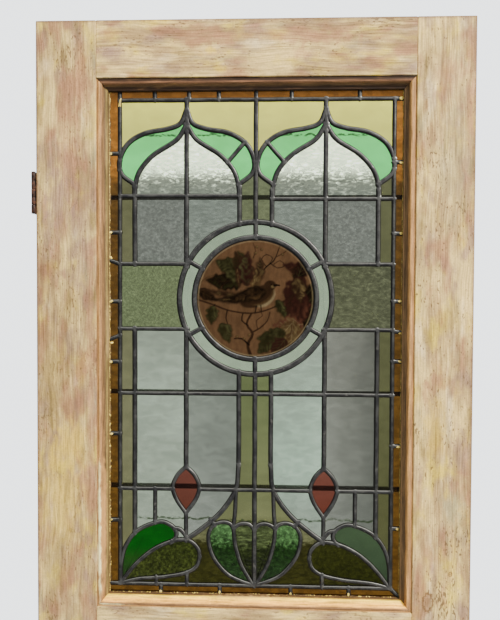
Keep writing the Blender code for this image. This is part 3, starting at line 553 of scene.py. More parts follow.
def cut_panes(spots, regions, finishes):
    """The true panes between the leads, and the gaps too small for one as fillings of solder."""
    faces, count, panes, fillings = glass_faces(), {}, [], []
    for region in regions:
        size = sum(area_of(spots, triangle) for triangle in region)
        widest = max(region, key=lambda triangle: area_of(spots, triangle))
        middle = sum((spots[i] for i in widest), Vector((0, 0))) / 3000
        rim = EDGE / 2000
        if not (LIGHT_LEFT + rim < middle.x < LIGHT_RIGHT - rim and LIGHT_BOTTOM + rim < middle.y < LIGHT_TOP - rim):
            continue
        node = glass_node_at(middle, faces)
        outline = [spots[i] for i in outline_of(region, spots)]
        if size < SMALLEST_PANE:
            fillings.append(cut_sheet("filling", outline, LEAD_FRONT + 0.0006, LEAD_BACK - 0.0006))
            continue
        if node == "glass_roundel":
            continue
        count[node] = count.get(node, 0) + 1
        name = f"pane_{node[6:]}_{count[node]}"
        pane = cut_sheet(name, drawn_in(outline, 0.9), GLASS_FRONT, GLASS_BACK)
        finish, slot = finishes(node, middle)
        set_down(pane, name, finish, stands_for=[node])
        panes.append(pane)
    return panes, fillings


# The roundel: a disc with a ground edge and a painted face.

ROUNDEL_RADIUS = RING_INNER / DRAWN_HALF * (FIELD_RIGHT - FIELD_LEFT) / 2
ROUNDEL_MIDDLE = on_door((0, RING_DROP))
PAINT_STEP = 0.00125


def blank_canvas():
    """The roundel's front face as a fine grid inside its leads, with the ground edge sloping back."""
    cells = round(2 * ROUNDEL_RADIUS / PAINT_STEP)
    clear_bench()
    bpy.ops.mesh.primitive_grid_add(
        x_subdivisions=cells, y_subdivisions=cells, size=2 * ROUNDEL_RADIUS, rotation=(math.pi / 2, 0, 0)
    )
    disc = bpy.context.object
    fix_place(disc)
    for face in disc.data.polygons:
        face.select = face.center.length > ROUNDEL_RADIUS - 0.0012
    for mesh_part in (disc.data.vertices, disc.data.edges):
        for element in mesh_part:
            element.select = False
    bpy.ops.object.mode_set(mode="EDIT")
    bpy.ops.mesh.select_mode(type="FACE")
    bpy.ops.mesh.delete(type="FACE")
    bpy.ops.mesh.select_mode(type="EDGE")
    bpy.ops.mesh.select_all(action="DESELECT")
    bpy.ops.mesh.select_non_manifold()
    bpy.ops.mesh.extrude_region_move(TRANSFORM_OT_translate={"value": (0, GLASS_BACK - GLASS_FRONT, 0)})
    bpy.ops.mesh.edge_face_add()
    bpy.ops.mesh.select_all(action="SELECT")
    bpy.ops.mesh.normals_make_consistent(inside=False)
    bpy.ops.object.mode_set(mode="OBJECT")
    slope_start = ROUNDEL_RADIUS - 0.0085
    for vertex in disc.data.vertices:
        x, y, z = vertex.co
        radius = math.hypot(x, z)
        sink = 0.0011 * max(0.0, radius - slope_start) / (ROUNDEL_RADIUS - slope_start) if y < 0.001 else 0
        vertex.co = (x + ROUNDEL_MIDDLE.x, GLASS_FRONT + y + sink, z + ROUNDEL_MIDDLE.y)
    return disc


# The roundel's painting: a bird on a twig among leaves, as brushed colours on the disc's points.

COPPER = (0.052, 0.028, 0.0135)
UMBER, SOOT, BARK = (0.013, 0.0065, 0.003), (0.0040, 0.0022, 0.0010), (0.028, 0.0155, 0.0065)
MOSS, SAGE, PLUM = (0.0085, 0.0078, 0.0025), (0.028, 0.027, 0.0105), (0.0125, 0.0042, 0.0028)
MADDER, GOLD, CREAM_PAINT = (0.034, 0.013, 0.0075), (0.066, 0.046, 0.0195), (0.115, 0.090, 0.048)


def soft_step(value, low, high):
    t = np.clip((value - low) / (high - low), 0, 1)
    return t * t * (3 - 2 * t)


def mottle(u, v, cells, seed):
    """Smooth uneven values between 0 and 1 at the points."""
    lattice = np.random.default_rng(seed).random((cells + 3, cells + 3))
    x, y = (np.clip(u, -1, 1) + 1) / 2 * cells, (np.clip(v, -1, 1) + 1) / 2 * cells
    i, j = x.astype(int), y.astype(int)
    fx, fy = soft_step(x - i, 0, 1), soft_step(y - j, 0, 1)
    low = lattice[i, j] * (1 - fx) + lattice[i + 1, j] * fx
    high = lattice[i, j + 1] * (1 - fx) + lattice[i + 1, j + 1] * fx
    return low * (1 - fy) + high * fy


class Painting:
    """Colours at the points (u, v), in radii of the roundel from its middle."""

    def __init__(self, u, v):
        self.u, self.v = u, v
        self.colour = np.tile(np.array(COPPER), (len(u), 1))
        self.broad, self.fine = mottle(u, v, 9, 1), mottle(u, v, 40, 2)
        self.colour *= (0.80 + 0.26 * self.broad + 0.14 * self.fine)[:, None]

    def lay(self, mask, colour):
        colour = np.asarray(colour)
        self.colour = self.colour * (1 - mask[:, None]) + colour * mask[:, None]

    def leaf(self, foot, tip, width, dark, light, vein, lobes=0.0, bend=0.0):
        """A pointed leaf from its foot to its tip, lit along one half, with a midrib and side veins."""
        run = np.array([tip[0] - foot[0], tip[1] - foot[1]])
        length = np.hypot(*run)
        run /= length
        x, y = self.u - foot[0], self.v - foot[1]
        s = (x * run[0] + y * run[1]) / length
        t = (-x * run[1] + y * run[0]) / length
        t = t - bend * np.sin(np.pi * np.clip(s, 0, 1))
        inside = np.clip(s, 1e-4, 1)
        edge = width * np.sin(np.pi * inside**0.72) ** 0.85 * (1 + lobes * np.sin(inside * 26 + 1.2) + 0.5 * (self.fine - 0.5))
        mask = soft_step(edge - np.abs(t), -0.03 / length, 0.03 / length)
        mask *= soft_step(s, -0.02, 0.02) * soft_step(1.0 - s, -0.02, 0.02)
        side = soft_step(t, -0.6 * width, 0.9 * width)
        brushed = 0.5 + 0.5 * np.sin(30 * (s - 1.3 * np.abs(t)) + 4 * np.sin(9 * s) + 3 * self.fine)
        tone = np.clip(0.75 * side * brushed + 0.75 * (self.fine - 0.35), 0, 1) * soft_step(edge - np.abs(t), 0, 0.10)
        fill = np.array(dark) * (1 - tone[:, None]) + np.array(light) * tone[:, None]
        self.lay(mask, fill)
        midrib = soft_step(0.020 - np.abs(t), 0, 0.02) * mask * soft_step(1.0 - s, 0.1, 0.5)
        veins = soft_step(0.2 - np.abs((s * 5.5 - 6.5 * np.abs(t)) % 1 - 0.5), 0, 0.2) * mask
        veins *= soft_step(edge - np.abs(t), 0.02, 0.12)
        self.lay(np.maximum(midrib * 0.5, veins * 0.28), vein)

    def twig(self, points, thick, thin, colour):
        """A tapering line through the points."""
        line = [p / 100 for p in curve_through([(100 * x, 100 * y) for x, y in points], 6)]
        mask = np.zeros(len(self.u))
        for i, (a, b) in enumerate(zip(line, line[1:])):
            width = thick + (thin - thick) * i / len(line)
            run = b - a
            t = np.clip(((self.u - a.x) * run.x + (self.v - a.y) * run.y) / run.length_squared, 0, 1)
            away = np.hypot(self.u - a.x - t * run.x, self.v - a.y - t * run.y)
            mask = np.maximum(mask, soft_step(width - away, -0.006, 0.008))
        self.lay(mask, colour)

    def oval(self, middle, radii, turn, colour, soft=0.03, strength=1.0):
        c, s = math.cos(turn), math.sin(turn)
        x, y = self.u - middle[0], self.v - middle[1]
        away = np.hypot((x * c + y * s) / radii[0], (-x * s + y * c) / radii[1])
        self.lay(strength * soft_step(1 - away, -soft, soft), colour)


def paint_roundel(disc):
    """The painting as a colour attribute of the disc's points."""
    co = np.array([v.co for v in disc.data.vertices])
    u, v = (co[:, 0] - ROUNDEL_MIDDLE.x) / ROUNDEL_RADIUS, (co[:, 2] - ROUNDEL_MIDDLE.y) / ROUNDEL_RADIUS
    art = Painting(u, v)
    # Twigs and tendrils.
    for points, thick, thin, colour in (
        (((-0.06, -0.97), (-0.12, -0.76), (-0.04, -0.58), (-0.14, -0.42), (-0.06, -0.24)), 0.028, 0.014, UMBER),
        (((-0.10, -0.76), (-0.22, -0.66), (-0.34, -0.66)), 0.016, 0.008, SOOT),
        (((-0.06, -0.56), (0.08, -0.48), (0.20, -0.36), (0.24, -0.22)), 0.014, 0.007, UMBER),
        (((-0.12, -0.44), (-0.22, -0.36), (-0.20, -0.24)), 0.012, 0.008, SOOT),
        (((0.04, -0.50), (0.02, -0.36), (0.12, -0.28), (0.06, -0.18)), 0.008, 0.005, UMBER),
        (((-0.95, -0.02), (-0.70, -0.10), (-0.42, -0.20), (-0.06, -0.24), (0.26, -0.16), (0.58, 0.02)), 0.015, 0.011, UMBER),
        (((-0.66, -0.10), (-0.72, -0.18), (-0.74, -0.26)), 0.010, 0.007, SOOT),
        (((-0.46, -0.20), (-0.48, -0.32), (-0.45, -0.42)), 0.010, 0.007, SOOT),
        (((0.08, 0.30), (0.16, 0.50), (0.30, 0.62), (0.40, 0.86)), 0.013, 0.006, SOOT),
        (((0.18, 0.52), (0.10, 0.64), (0.18, 0.72), (0.28, 0.66), (0.22, 0.56)), 0.008, 0.005, SOOT),
        (((0.24, 0.58), (0.36, 0.50), (0.48, 0.54), (0.40, 0.62), (0.30, 0.56)), 0.008, 0.005, SOOT),
        (((0.34, 0.68), (0.48, 0.76), (0.60, 0.88)), 0.008, 0.005, UMBER),
        (((0.14, 0.44), (0.06, 0.52), (0.06, 0.60)), 0.008, 0.005, UMBER),
        (((-0.94, 0.22), (-0.80, 0.34), (-0.62, 0.40)), 0.008, 0.006, BARK),
        (((-0.04, 0.66), (0.00, 0.78), (-0.04, 0.90)), 0.008, 0.005, UMBER),
    ):
        art.twig(points, thick, thin, colour)
    for spot in ((0.10, 0.80), (0.00, 0.74), (0.44, 0.72), (-0.30, -0.63), (-0.18, -0.66), (-0.10, -0.60), (0.02, 0.84)):
        art.oval(spot, (0.026, 0.024), 0, BARK, 0.4)
        art.oval((spot[0] + 0.006, spot[1] + 0.006), (0.013, 0.012), 0, GOLD, 0.4, 0.8)
    # Leaves: foot, tip, width, dark and light sides, veins, lobes and bend.
    for leaf in (
        ((-0.10, 0.52), (-0.30, 0.78), 0.26, MOSS, SAGE, UMBER, 0.1),
        ((-0.16, 0.34), (-0.82, 0.30), 0.24, SOOT, MOSS, UMBER, 0.08, 0.06),
        ((-0.14, 0.36), (-0.66, 0.62), 0.30, MOSS, SAGE, SOOT, 0.1, -0.03),
        ((-0.12, 0.34), (-0.34, 0.78), 0.24, UMBER, MOSS, SOOT, 0.1, 0.04),
        ((-0.14, 0.20), (-0.12, 0.78), 0.24, PLUM, SAGE, SOOT, 0.12, 0.05),
        ((0.00, 0.22), (0.08, 0.68), 0.20, UMBER, GOLD, SOOT, 0.1, -0.05),
        ((-0.06, 0.14), (0.10, 0.40), 0.26, BARK, GOLD, UMBER, 0.08),
        ((-0.30, 0.48), (-0.26, 0.16), 0.14, UMBER, MADDER, GOLD),
        ((-0.70, -0.12), (-0.72, -0.44), 0.32, MOSS, SAGE, SOOT, 0.08),
        ((-0.56, -0.40), (-0.42, -0.74), 0.30, MOSS, SAGE, UMBER, 0.08, 0.05),
        ((-0.96, 0.14), (-0.62, -0.04), 0.24, SOOT, UMBER, BARK, 0.08),
        ((0.90, 0.42), (0.44, 0.56), 0.24, PLUM, UMBER, MADDER, 0.08),
        ((0.66, 0.24), (0.80, 0.66), 0.24, SOOT, PLUM, SAGE, 0.08),
        ((0.78, 0.36), (0.52, -0.30), 0.24, PLUM, UMBER, SOOT, 0.06, -0.05),
        ((0.94, 0.26), (0.80, -0.62), 0.20, SOOT, MOSS, SAGE, 0.1, 0.05),
        ((0.80, 0.10), (0.60, -0.58), 0.22, PLUM, MADDER, SOOT, 0.08, 0.03),
        ((0.66, 0.34), (0.74, -0.08), 0.26, UMBER, GOLD, SOOT, 0.1, 0.05),
        ((0.34, -0.02), (0.52, -0.34), 0.22, MOSS, SAGE, SOOT, 0.08),
        ((0.78, -0.42), (0.28, -0.44), 0.26, MADDER, GOLD, CREAM_PAINT, 0.12),
        ((0.62, -0.36), (0.58, -0.84), 0.30, BARK, GOLD, CREAM_PAINT, 0.12),
        ((0.60, -0.40), (0.30, -0.76), 0.24, BARK, GOLD, CREAM_PAINT, 0.12),
        ((0.50, -0.56), (0.02, -0.66), 0.26, MOSS, SAGE, UMBER, 0.1, 0.05),
        ((0.38, -0.58), (0.04, -0.90), 0.34, MOSS, SAGE, PLUM, 0.1),
        ((0.50, -0.66), (0.26, -0.96), 0.34, PLUM, UMBER, SAGE, 0.08),
    ):
        art.leaf(*leaf)
    # The bird.
    art.leaf((-0.20, 0.00), (-0.84, 0.14), 0.09, UMBER, GOLD, SOOT)
    art.leaf((-0.16, -0.02), (-0.70, -0.02), 0.11, SOOT, BARK, GOLD)
    art.oval((0.02, 0.02), (0.29, 0.155), 0.34, UMBER, 0.1)
    art.oval((0.16, 0.02), (0.19, 0.13), 0.75, CREAM_PAINT, 0.15, 0.75)
    art.oval((0.105, 0.050), (0.22, 0.140), 0.55, BARK, 0.15)
    art.oval((0.05, 0.060), (0.24, 0.130), 0.45, UMBER, 0.15)
    art.leaf((0.18, 0.12), (-0.44, -0.06), 0.19, SOOT, BARK, UMBER, 0.0, -0.04)
    art.oval((0.235, 0.210), (0.100, 0.085), 0.3, UMBER, 0.15)
    art.oval((0.285, 0.195), (0.030, 0.024), 0, GOLD, 0.4, 0.7)
    art.twig(((0.31, 0.215), (0.35, 0.220), (0.39, 0.216)), 0.020, 0.004, SOOT)
    art.oval((0.262, 0.232), (0.011, 0.011), 0, SOOT, 0.3)
    art.twig(((0.02, -0.12), (0.00, -0.22)), 0.010, 0.008, SOOT)
    art.twig(((0.09, -0.11), (0.10, -0.20)), 0.010, 0.008, SOOT)
    # Round the edge the glass is bare of paint.
    out = np.hypot(u, v)
    bare = soft_step(out, 0.920, 0.932) * (1 - soft_step(out, 0.940, 0.952))
    art.lay(bare * (0.60 - 0.30 * np.cos(np.arctan2(v, u) - 0.9)) * (0.6 + 0.6 * art.broad), CREAM_PAINT)
    layer = disc.data.color_attributes.new("Painting", "FLOAT_COLOR", "POINT")
    layer.data.foreach_set("color", np.column_stack([art.colour, np.ones(len(u))]).astype(np.float32).ravel())


# The mouldings: mitred lengths of one section, and the old putty that seals the glass to them.

QUIRK, QUIRK_DEPTH = 0.0022, 0.0025
BEAD_RADIUS = 0.0043
FILLET, SIGHT_EDGE, FILLET_STEP = 0.0010, 0.0054, 0.0010


def moulding_section(width, depth, seat):
    """(in from the opening's edge, back from the face): quirk, bead, cove and sight edge."""
    points = [(seat, depth), (seat, QUIRK_DEPTH), (QUIRK - 0.0004, QUIRK_DEPTH)]
    start = math.asin(1 - QUIRK_DEPTH / BEAD_RADIUS)
    for step in range(15):
        angle = math.pi - start - (math.pi - start) * step / 14
        points.append((QUIRK + BEAD_RADIUS * (1 + math.cos(angle)), BEAD_RADIUS * (1 - math.sin(angle))))
    bead_end, cove_top = QUIRK + 2 * BEAD_RADIUS, BEAD_RADIUS + FILLET_STEP
    cove_end, cove_foot = width - FILLET, depth - SIGHT_EDGE
    for step in range(11):
        angle = math.pi / 2 * step / 10
        across = cove_end - (cove_end - bead_end) * math.cos(angle)
        points.append((across, cove_top + (cove_foot - cove_top) * math.sin(angle)))
    return points + [(width - 0.0003, cove_foot), (width, cove_foot + 0.0003), (width, depth)]


def back_bead_section(width, depth, seat):
    """(in from the opening's edge, back from the glass): a quarter-round bead."""
    rounding = min(0.014, 0.9 * depth)
    points = [(seat, 0.0), (width, 0.0)]
    for step in range(8):
        angle = math.pi / 2 * step / 7
        points.append((width - rounding * (1 - math.cos(angle)), depth - rounding * (1 - math.sin(angle))))
    return points + [(seat, depth)]


def opening_sides(opening):
    """For each side of an opening: its edge, the way in, the way along, and its two ends."""
    left, right, bottom, top = opening
    return {
        "left": (Vector((left, 0, 0)), Vector((1, 0, 0)), Vector((0, 0, 1)), bottom, top),
        "right": (Vector((right, 0, 0)), Vector((-1, 0, 0)), Vector((0, 0, 1)), bottom, top),
        "top": (Vector((0, 0, top)), Vector((0, 0, -1)), Vector((1, 0, 0)), left, right),
        "bottom": (Vector((0, 0, bottom)), Vector((0, 0, 1)), Vector((1, 0, 0)), left, right),
    }


def mitred_length(section, face, edge, inward, along, start, stop, gap=0.0003):
    """One length of a moulding: its section drawn out along a side and mitred at both ends."""
    clear_bench()
    bpy.ops.mesh.primitive_circle_add(vertices=len(section), fill_type="NGON")
    length = bpy.context.object
    for vertex, (in_from_edge, back) in zip(length.data.vertices, section):
        vertex.co = edge + inward * in_from_edge + along * (start + gap + in_from_edge) + Vector((0, face + back, 0))
    bpy.ops.object.mode_set(mode="EDIT")
    bpy.ops.mesh.select_all(action="SELECT")
    bpy.ops.mesh.extrude_region_move(TRANSFORM_OT_translate={"value": along * (stop - start - 2 * gap)})
    bpy.ops.object.mode_set(mode="OBJECT")
    for vertex in length.data.vertices[len(section):]:
        in_from_edge = (vertex.co - edge).dot(inward)
        vertex.co -= along * 2 * in_from_edge
    across = length.data.attributes.new("Across", "FLOAT", "POINT")
    for vertex, value in zip(length.data.vertices, across.data):
        value.value = (vertex.co - edge).dot(inward)
    bpy.ops.object.mode_set(mode="EDIT")
    bpy.ops.mesh.select_all(action="SELECT")
    bpy.ops.mesh.normals_make_consistent(inside=False)
    bpy.ops.object.mode_set(mode="OBJECT")
    smooth(length, 40)
    return length


def run_mouldings(prefix, opening, section, face, finishes):
    """Four mitred lengths round an opening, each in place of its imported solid."""
    for side, (edge, inward, along, start, stop) in opening_sides(opening).items():
        length = mitred_length(section, face, edge, inward, along, start, stop)
        finish = finishes[side if side in finishes else ("upright" if side in ("left", "right") else "level")]
        set_down(length, f"{prefix}_{side}_length", finish, stands_for=[f"{prefix}_{side}"])


def putty_line(spec, widths, seed):
    """The uneven fillet of old putty and paint between a moulding's sight edge and the glass."""
    edge, inward, along, start, stop = spec
    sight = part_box("glass_moulding_left")[1].x - INNER_LEFT
    hand_here = random.Random(seed)
    phases = [hand_here.uniform(0, 6.3) for _ in range(4)]
    low, high = widths
    stations = int((stop - start - 2 * sight) / 0.004)
    clear_bench()
    bpy.ops.mesh.primitive_grid_add(x_subdivisions=stations, y_subdivisions=4, size=1)
    fillet = bpy.context.object
    run = stop - start - 2 * sight
    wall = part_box("glass_moulding_left")[1].y
    for vertex in fillet.data.vertices:
        s, t = vertex.co.x + 0.5, vertex.co.y + 0.5
        place = start + sight + s * run
        swell = 0.5 + 0.25 * math.sin(place * 61 + phases[0]) + 0.25 * math.sin(place * 173 + phases[1])
        swell = max(0.0, min(1.0, swell + 0.22 * math.sin(place * 420 + phases[2]) + hand_here.uniform(-0.16, 0.16)))
        reach = low + (high - low) * swell
        rise = 0.0022 + 0.0012 * math.sin(place * 97 + phases[3])
        angle = math.pi / 2 * t
        out = -0.0004 + (reach + 0.0004) * (1 - math.cos(angle)) ** 0.9
        back = wall - rise * (1 - math.sin(angle)) + (GLASS_FRONT - wall + 0.0001) * math.sin(angle) ** 1.5
        vertex.co = edge + inward * (sight + out) + along * place + Vector((0, back, 0))
    reached = fillet.data.attributes.new("Reach", "FLOAT", "POINT")
    for vertex, value in zip(fillet.data.vertices, reached.data):
        value.value = ((vertex.co - edge).dot(inward) - sight) / high
    pick(fillet)
    bpy.ops.object.mode_set(mode="EDIT")
    bpy.ops.mesh.select_all(action="SELECT")
    bpy.ops.mesh.normals_make_consistent(inside=False)
    bpy.ops.object.mode_set(mode="OBJECT")
    towards = sum((p.normal * p.area for p in fillet.data.polygons), Vector())
    if towards.y > 0:
        bpy.ops.object.mode_set(mode="EDIT")
        bpy.ops.mesh.flip_normals()
        bpy.ops.object.mode_set(mode="OBJECT")
    smooth(fillet, 60)
    return fillet


def paint_dabs(sight):
    """Dabs of the mouldings' paint on the leads' ends, close to the sight edges."""
    clear_bench()
    bpy.ops.mesh.primitive_uv_sphere_add(segments=10, ring_count=6, radius=1.0, rotation=(math.pi / 2, 0, 0))
    pattern = bpy.context.object
    fix_place(pattern)
    edges = {-1: INNER_LEFT + sight, 1: INNER_RIGHT - sight}
    spots = [
        (edges[side] - side * 0.0030, on_door((0, outer)).y, 0.0075, 0.0042)
        for side in (-1, 1) for outer, _ in BORDER_TIES[side]
    ]
    spots += [(on_door((x, 0)).x, GLAZED_BOTTOM + sight + 0.0030, 0.0040, 0.0060) for x in BOTTOM_TIES]
    spots.append((edges[1] - 0.0035, on_door((0, 0)).y, 0.0075, 0.0060))
    spots.append((on_door((-DRAWN_HALF, 0)).x + 0.001, on_door((0, 4)).y, 0.0035, 0.016))
    dabs = []
    for x, z, length, height in spots:
        for _ in range(2):
            dab = copy_of(pattern)
            size = hand.uniform(0.7, 1.1)
            dab.scale = (size * length / 2, 0.0009, size * height / 2)
            dab.rotation_euler = (0, hand.uniform(-0.3, 0.3), 0)
            shift = hand.uniform(-0.0012, 0.0012)
            dab.location = (x + shift, LEAD_FRONT + 0.0004, z + hand.uniform(-0.0012, 0.0012))
            dabs.append(dab)
    bpy.data.objects.remove(pattern)
    dabs = join(dabs, "dabs")
    fix_place(dabs)
    smooth(dabs, 60)
    return dabs


# The hinges: leaves with their knuckles, turned pins, and slotted screws in the door's leaf.

PIN_RADIUS, KNUCKLE_RADIUS = 0.0022, 0.0041


def turned_drum(radius, low, high, centre, sides=28, edge=0.0004):
    """A short cylinder with eased ends, upright round a centre."""
    clear_bench()
    bpy.ops.mesh.primitive_cylinder_add(
        vertices=sides, radius=radius, depth=high - low, location=(centre.x, centre.y, (low + high) / 2)
    )
    drum = bpy.context.object
    fix_place(drum)
    ease_edges(drum, edge, 2)
    return drum


def ease_edges(piece, offset, segments=1, sharper=50):
    """The piece's sharp edges bevelled in edit mode."""
    pick(piece)
    bpy.ops.object.mode_set(mode="EDIT")
    bpy.ops.mesh.select_mode(type="EDGE")
    bpy.ops.mesh.select_all(action="DESELECT")
    bpy.ops.mesh.edges_select_sharp(sharpness=math.radians(sharper))
    bpy.ops.mesh.bevel(offset=offset, segments=segments, affect="EDGES")
    bpy.ops.mesh.select_mode(type="VERT")
    bpy.ops.object.mode_set(mode="OBJECT")


def cut_away(piece, cutter, operation="DIFFERENCE"):
    """The cutter taken out of the piece, or joined to it, and the cutter thrown away."""
    pick(piece)
    change = piece.modifiers.new("Cut", "BOOLEAN")
    change.operation, change.object, change.solver = operation, cutter, "EXACT"
    bpy.ops.object.modifier_apply(modifier=change.name)
    bpy.data.objects.remove(cutter)


def block(low, high):
    clear_bench()
    low, high = Vector(low), Vector(high)
    bpy.ops.mesh.primitive_cube_add(size=1, location=(low + high) / 2, scale=high - low)
    piece = bpy.context.object
    fix_place(piece)
    return piece


def countersunk_plug(place, inward, narrow, wide, depth):
    """A cone frustum along X, wide at the leaf's inner face."""
    clear_bench()
    bpy.ops.mesh.primitive_cone_add(
        vertices=20, radius1=narrow, radius2=wide, depth=depth,
        location=place + Vector((inward * depth / 2, 0, 0)), rotation=(0, inward * math.pi / 2, 0),
    )
    plug = bpy.context.object
    fix_place(plug)
    return plug


def hinge_leaf(node, centre, outer, own_knuckles, height, knuckles):
    """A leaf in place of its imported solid: plate, holes and its own knuckles round the pin."""
    low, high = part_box(node)
    radius, thickness = KNUCKLE_RADIUS, 0.0024
    step = height / knuckles
    face = low.x if outer < 0 else high.x
    inner = face - outer * thickness
    plate = block((min(face, inner), centre.y + 0.0006, centre.z - height / 2), (max(face, inner), high.y, centre.z + height / 2))
    ease_edges(plate, 0.0004, 1)
    for z in (-0.026, 0.0, 0.026):
        reach = high.y - centre.y - radius
        y = centre.y + radius + (0.28 if z == 0 else 0.66) * reach
        place = Vector((face + outer * 0.0002, y, centre.z + z))
        cut_away(plate, countersunk_plug(place, -outer, 0.0023, 0.0043, thickness + 0.0004))
    pieces = [plate]
    for i in own_knuckles:
        start, stop = centre.z - height / 2 + i * step, centre.z - height / 2 + (i + 1) * step
        pieces.append(turned_drum(radius, start + 0.0004, stop - 0.0004, centre))
        tongue = block(
            (min(face, centre.x), centre.y - 0.0004, start + 0.0005), (max(face, centre.x), centre.y + 0.0045, stop - 0.0005)
        )
        pieces.append(tongue)
    for i in range(knuckles):
        if i not in own_knuckles:
            start, stop = centre.z - height / 2 + i * step, centre.z - height / 2 + (i + 1) * step
            room = turned_drum(radius + 0.0008, start - 0.0002, stop + 0.0002, centre)
            cut_away(pieces[0], room)
    leaf = join(pieces, node)
    smooth(leaf, 30)
    return leaf


def hinge_screws(centre, face, outer):
    """Three countersunk slotted screws, their heads flush in the door's leaf."""
    high_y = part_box("hinge_upper_door_leaf")[1].y
    screws = []
    for z, turn in ((-0.026, 0.5), (0.0, 1.9), (0.026, 1.1)):
        reach = high_y - centre.y - KNUCKLE_RADIUS
        y = centre.y + KNUCKLE_RADIUS + (0.28 if z == 0 else 0.66) * reach
        middle = Vector((face - outer * 0.0013, y, centre.z + z))
        head = countersunk_plug(middle + Vector((outer * 0.0002, 0, 0)), -outer, 0.0026, 0.0040, 0.0009)
        slot = block((-0.0004, -0.0005, -0.005), (0.0004, 0.0005, 0.005))
        slot.rotation_euler = (turn, 0, 0)
        slot.location = middle - Vector((outer * 0.0009, 0, 0))
        fix_place(slot)
        cut_away(head, slot)
        screws.append(head)
    return join(screws, "screws")


def hinge_pin(node, centre):
    """A pin with a domed head at each end."""
    low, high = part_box(node)
    pin = turned_drum(PIN_RADIUS, low.z + 0.0012, high.z - 0.0012, centre, 20)
    heads = []
    for end, sign in ((low.z, 1), (high.z, -1)):
        clear_bench()
        bpy.ops.mesh.primitive_uv_sphere_add(segments=24, ring_count=12, radius=KNUCKLE_RADIUS - 0.00005)
        head = bpy.context.object
        head.scale = (1, 1, 0.31)
        head.location = (centre.x, centre.y, end + sign * 0.00135)
        fix_place(head)
        heads.append(head)
    pin = join([pin] + heads, node)
    smooth(pin, 40)
    return pin


def hang_hinges(iron, screw_iron):
    for name in ("upper", "lower"):
        nodes = {part: f"hinge_{name}_{part}" for part in ("frame_leaf", "door_leaf", "pin")}
        pin_low, pin_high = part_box(nodes["pin"])
        leaf_low, leaf_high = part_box(nodes["frame_leaf"])
        centre = (pin_low + pin_high) / 2
        height = leaf_high.z - leaf_low.z
        frame_leaf = hinge_leaf(nodes["frame_leaf"], centre, -1, (0, 2, 4), height, 5)
        door_leaf = hinge_leaf(nodes["door_leaf"], centre, 1, (1, 3), height, 5)
        pin = hinge_pin(nodes["pin"], centre)
        screws = hinge_screws(centre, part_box(nodes["door_leaf"])[1].x, 1)
        set_down(frame_leaf, f"{name}_hinge_leaf_for_the_jamb", iron, "jamb_leaves", [nodes["frame_leaf"]])
        set_down(door_leaf, f"{name}_hinge_leaf_on_the_door", iron, "door", [nodes["door_leaf"]])
        set_down(pin, f"{name}_hinge_pin_with_heads", iron, "jamb_leaves", [nodes["pin"]])
        set_down(screws, f"{name}_hinge_screws", screw_iron, "door")


# Finishes. A small set of helpers puts nodes on a tree and joins them.


class Tree:
    """A material's or a group's nodes."""

    def __init__(self, nodes):
        self.tree = nodes

    def put(self, kind, inputs=(), **settings):
        node = self.tree.nodes.new(kind)
        for key, value in settings.items():
            setattr(node, key, value)
        for key, value in dict(inputs).items():
            self.feed(node.inputs[key], value)
        return node

    def feed(self, socket, value):
        if isinstance(value, bpy.types.NodeSocket):
            self.tree.links.new(value, socket)
        elif value is not None:
            socket.default_value = value

    def maths(self, operation, a, b=None, clamp=False):
        inputs = {0: a} if b is None else {0: a, 1: b}
        return self.put("ShaderNodeMath", inputs, operation=operation, use_clamp=clamp).outputs[0]

    def stretched(self, vector, scale, offset=(0, 0, 0), turn=(0, 0, 0)):
        return self.put(
            "ShaderNodeMapping", {"Vector": vector, "Scale": scale, "Location": offset, "Rotation": turn}
        ).outputs[0]

    def noise(self, vector, scale=1.0, detail=3.0, roughness=0.5, distortion=0.0):
        inputs = {"Vector": vector, "Scale": scale, "Detail": detail, "Roughness": roughness, "Distortion": distortion}
        return self.put("ShaderNodeTexNoise", inputs).outputs["Fac"]

    def spread(self, value, low, high, to_low=0.0, to_high=1.0, smooth_ends=True):
        inputs = {"Value": value, "From Min": low, "From Max": high, "To Min": to_low, "To Max": to_high}
        kind = "SMOOTHSTEP" if smooth_ends else "LINEAR"
        return self.put("ShaderNodeMapRange", inputs, interpolation_type=kind).outputs[0]

    def mix(self, share, a, b, blend="MIX"):
        node = self.put("ShaderNodeMix", {0: share, 6: a, 7: b}, data_type="RGBA", blend_type=blend)
        return node.outputs[2]

    def scaled(self, colour, factor):
        """A colour times a number."""
        node = self.put("ShaderNodeVectorMath", {0: colour, "Scale": factor}, operation="SCALE")
        return node.outputs[0]

    def parts(self, vector):
        return self.put("ShaderNodeSeparateXYZ", {0: vector}).outputs

    def vector(self, x=0.0, y=0.0, z=0.0):
        return self.put("ShaderNodeCombineXYZ", {0: x, 1: y, 2: z}).outputs[0]

    def use(self, group, inputs):
        node = self.put("ShaderNodeGroup", node_tree=group)
        for key, value in inputs.items():
            self.feed(node.inputs[key], value)
        return node.outputs


def rgba(colour):
    return (*colour, 1.0)


SOCKETS = {"colour": "NodeSocketColor", "number": "NodeSocketFloat", "vector": "NodeSocketVector"}


def new_group(name, inputs, outputs):
    """A node group with those named sockets; its tree, its inputs and the node to feed."""
    group = bpy.data.node_groups.new(name, "ShaderNodeTree")
    for key, (kind, default) in inputs.items():
        socket = group.interface.new_socket(key, in_out="INPUT", socket_type=SOCKETS[kind])
        if default is not None:
            socket.default_value = default
    for key, kind in outputs.items():
        group.interface.new_socket(key, in_out="OUTPUT", socket_type=SOCKETS[kind])
    entry, exit_ = group.nodes.new("NodeGroupInput"), group.nodes.new("NodeGroupOutput")
    return group, Tree(group), entry.outputs, exit_.inputs


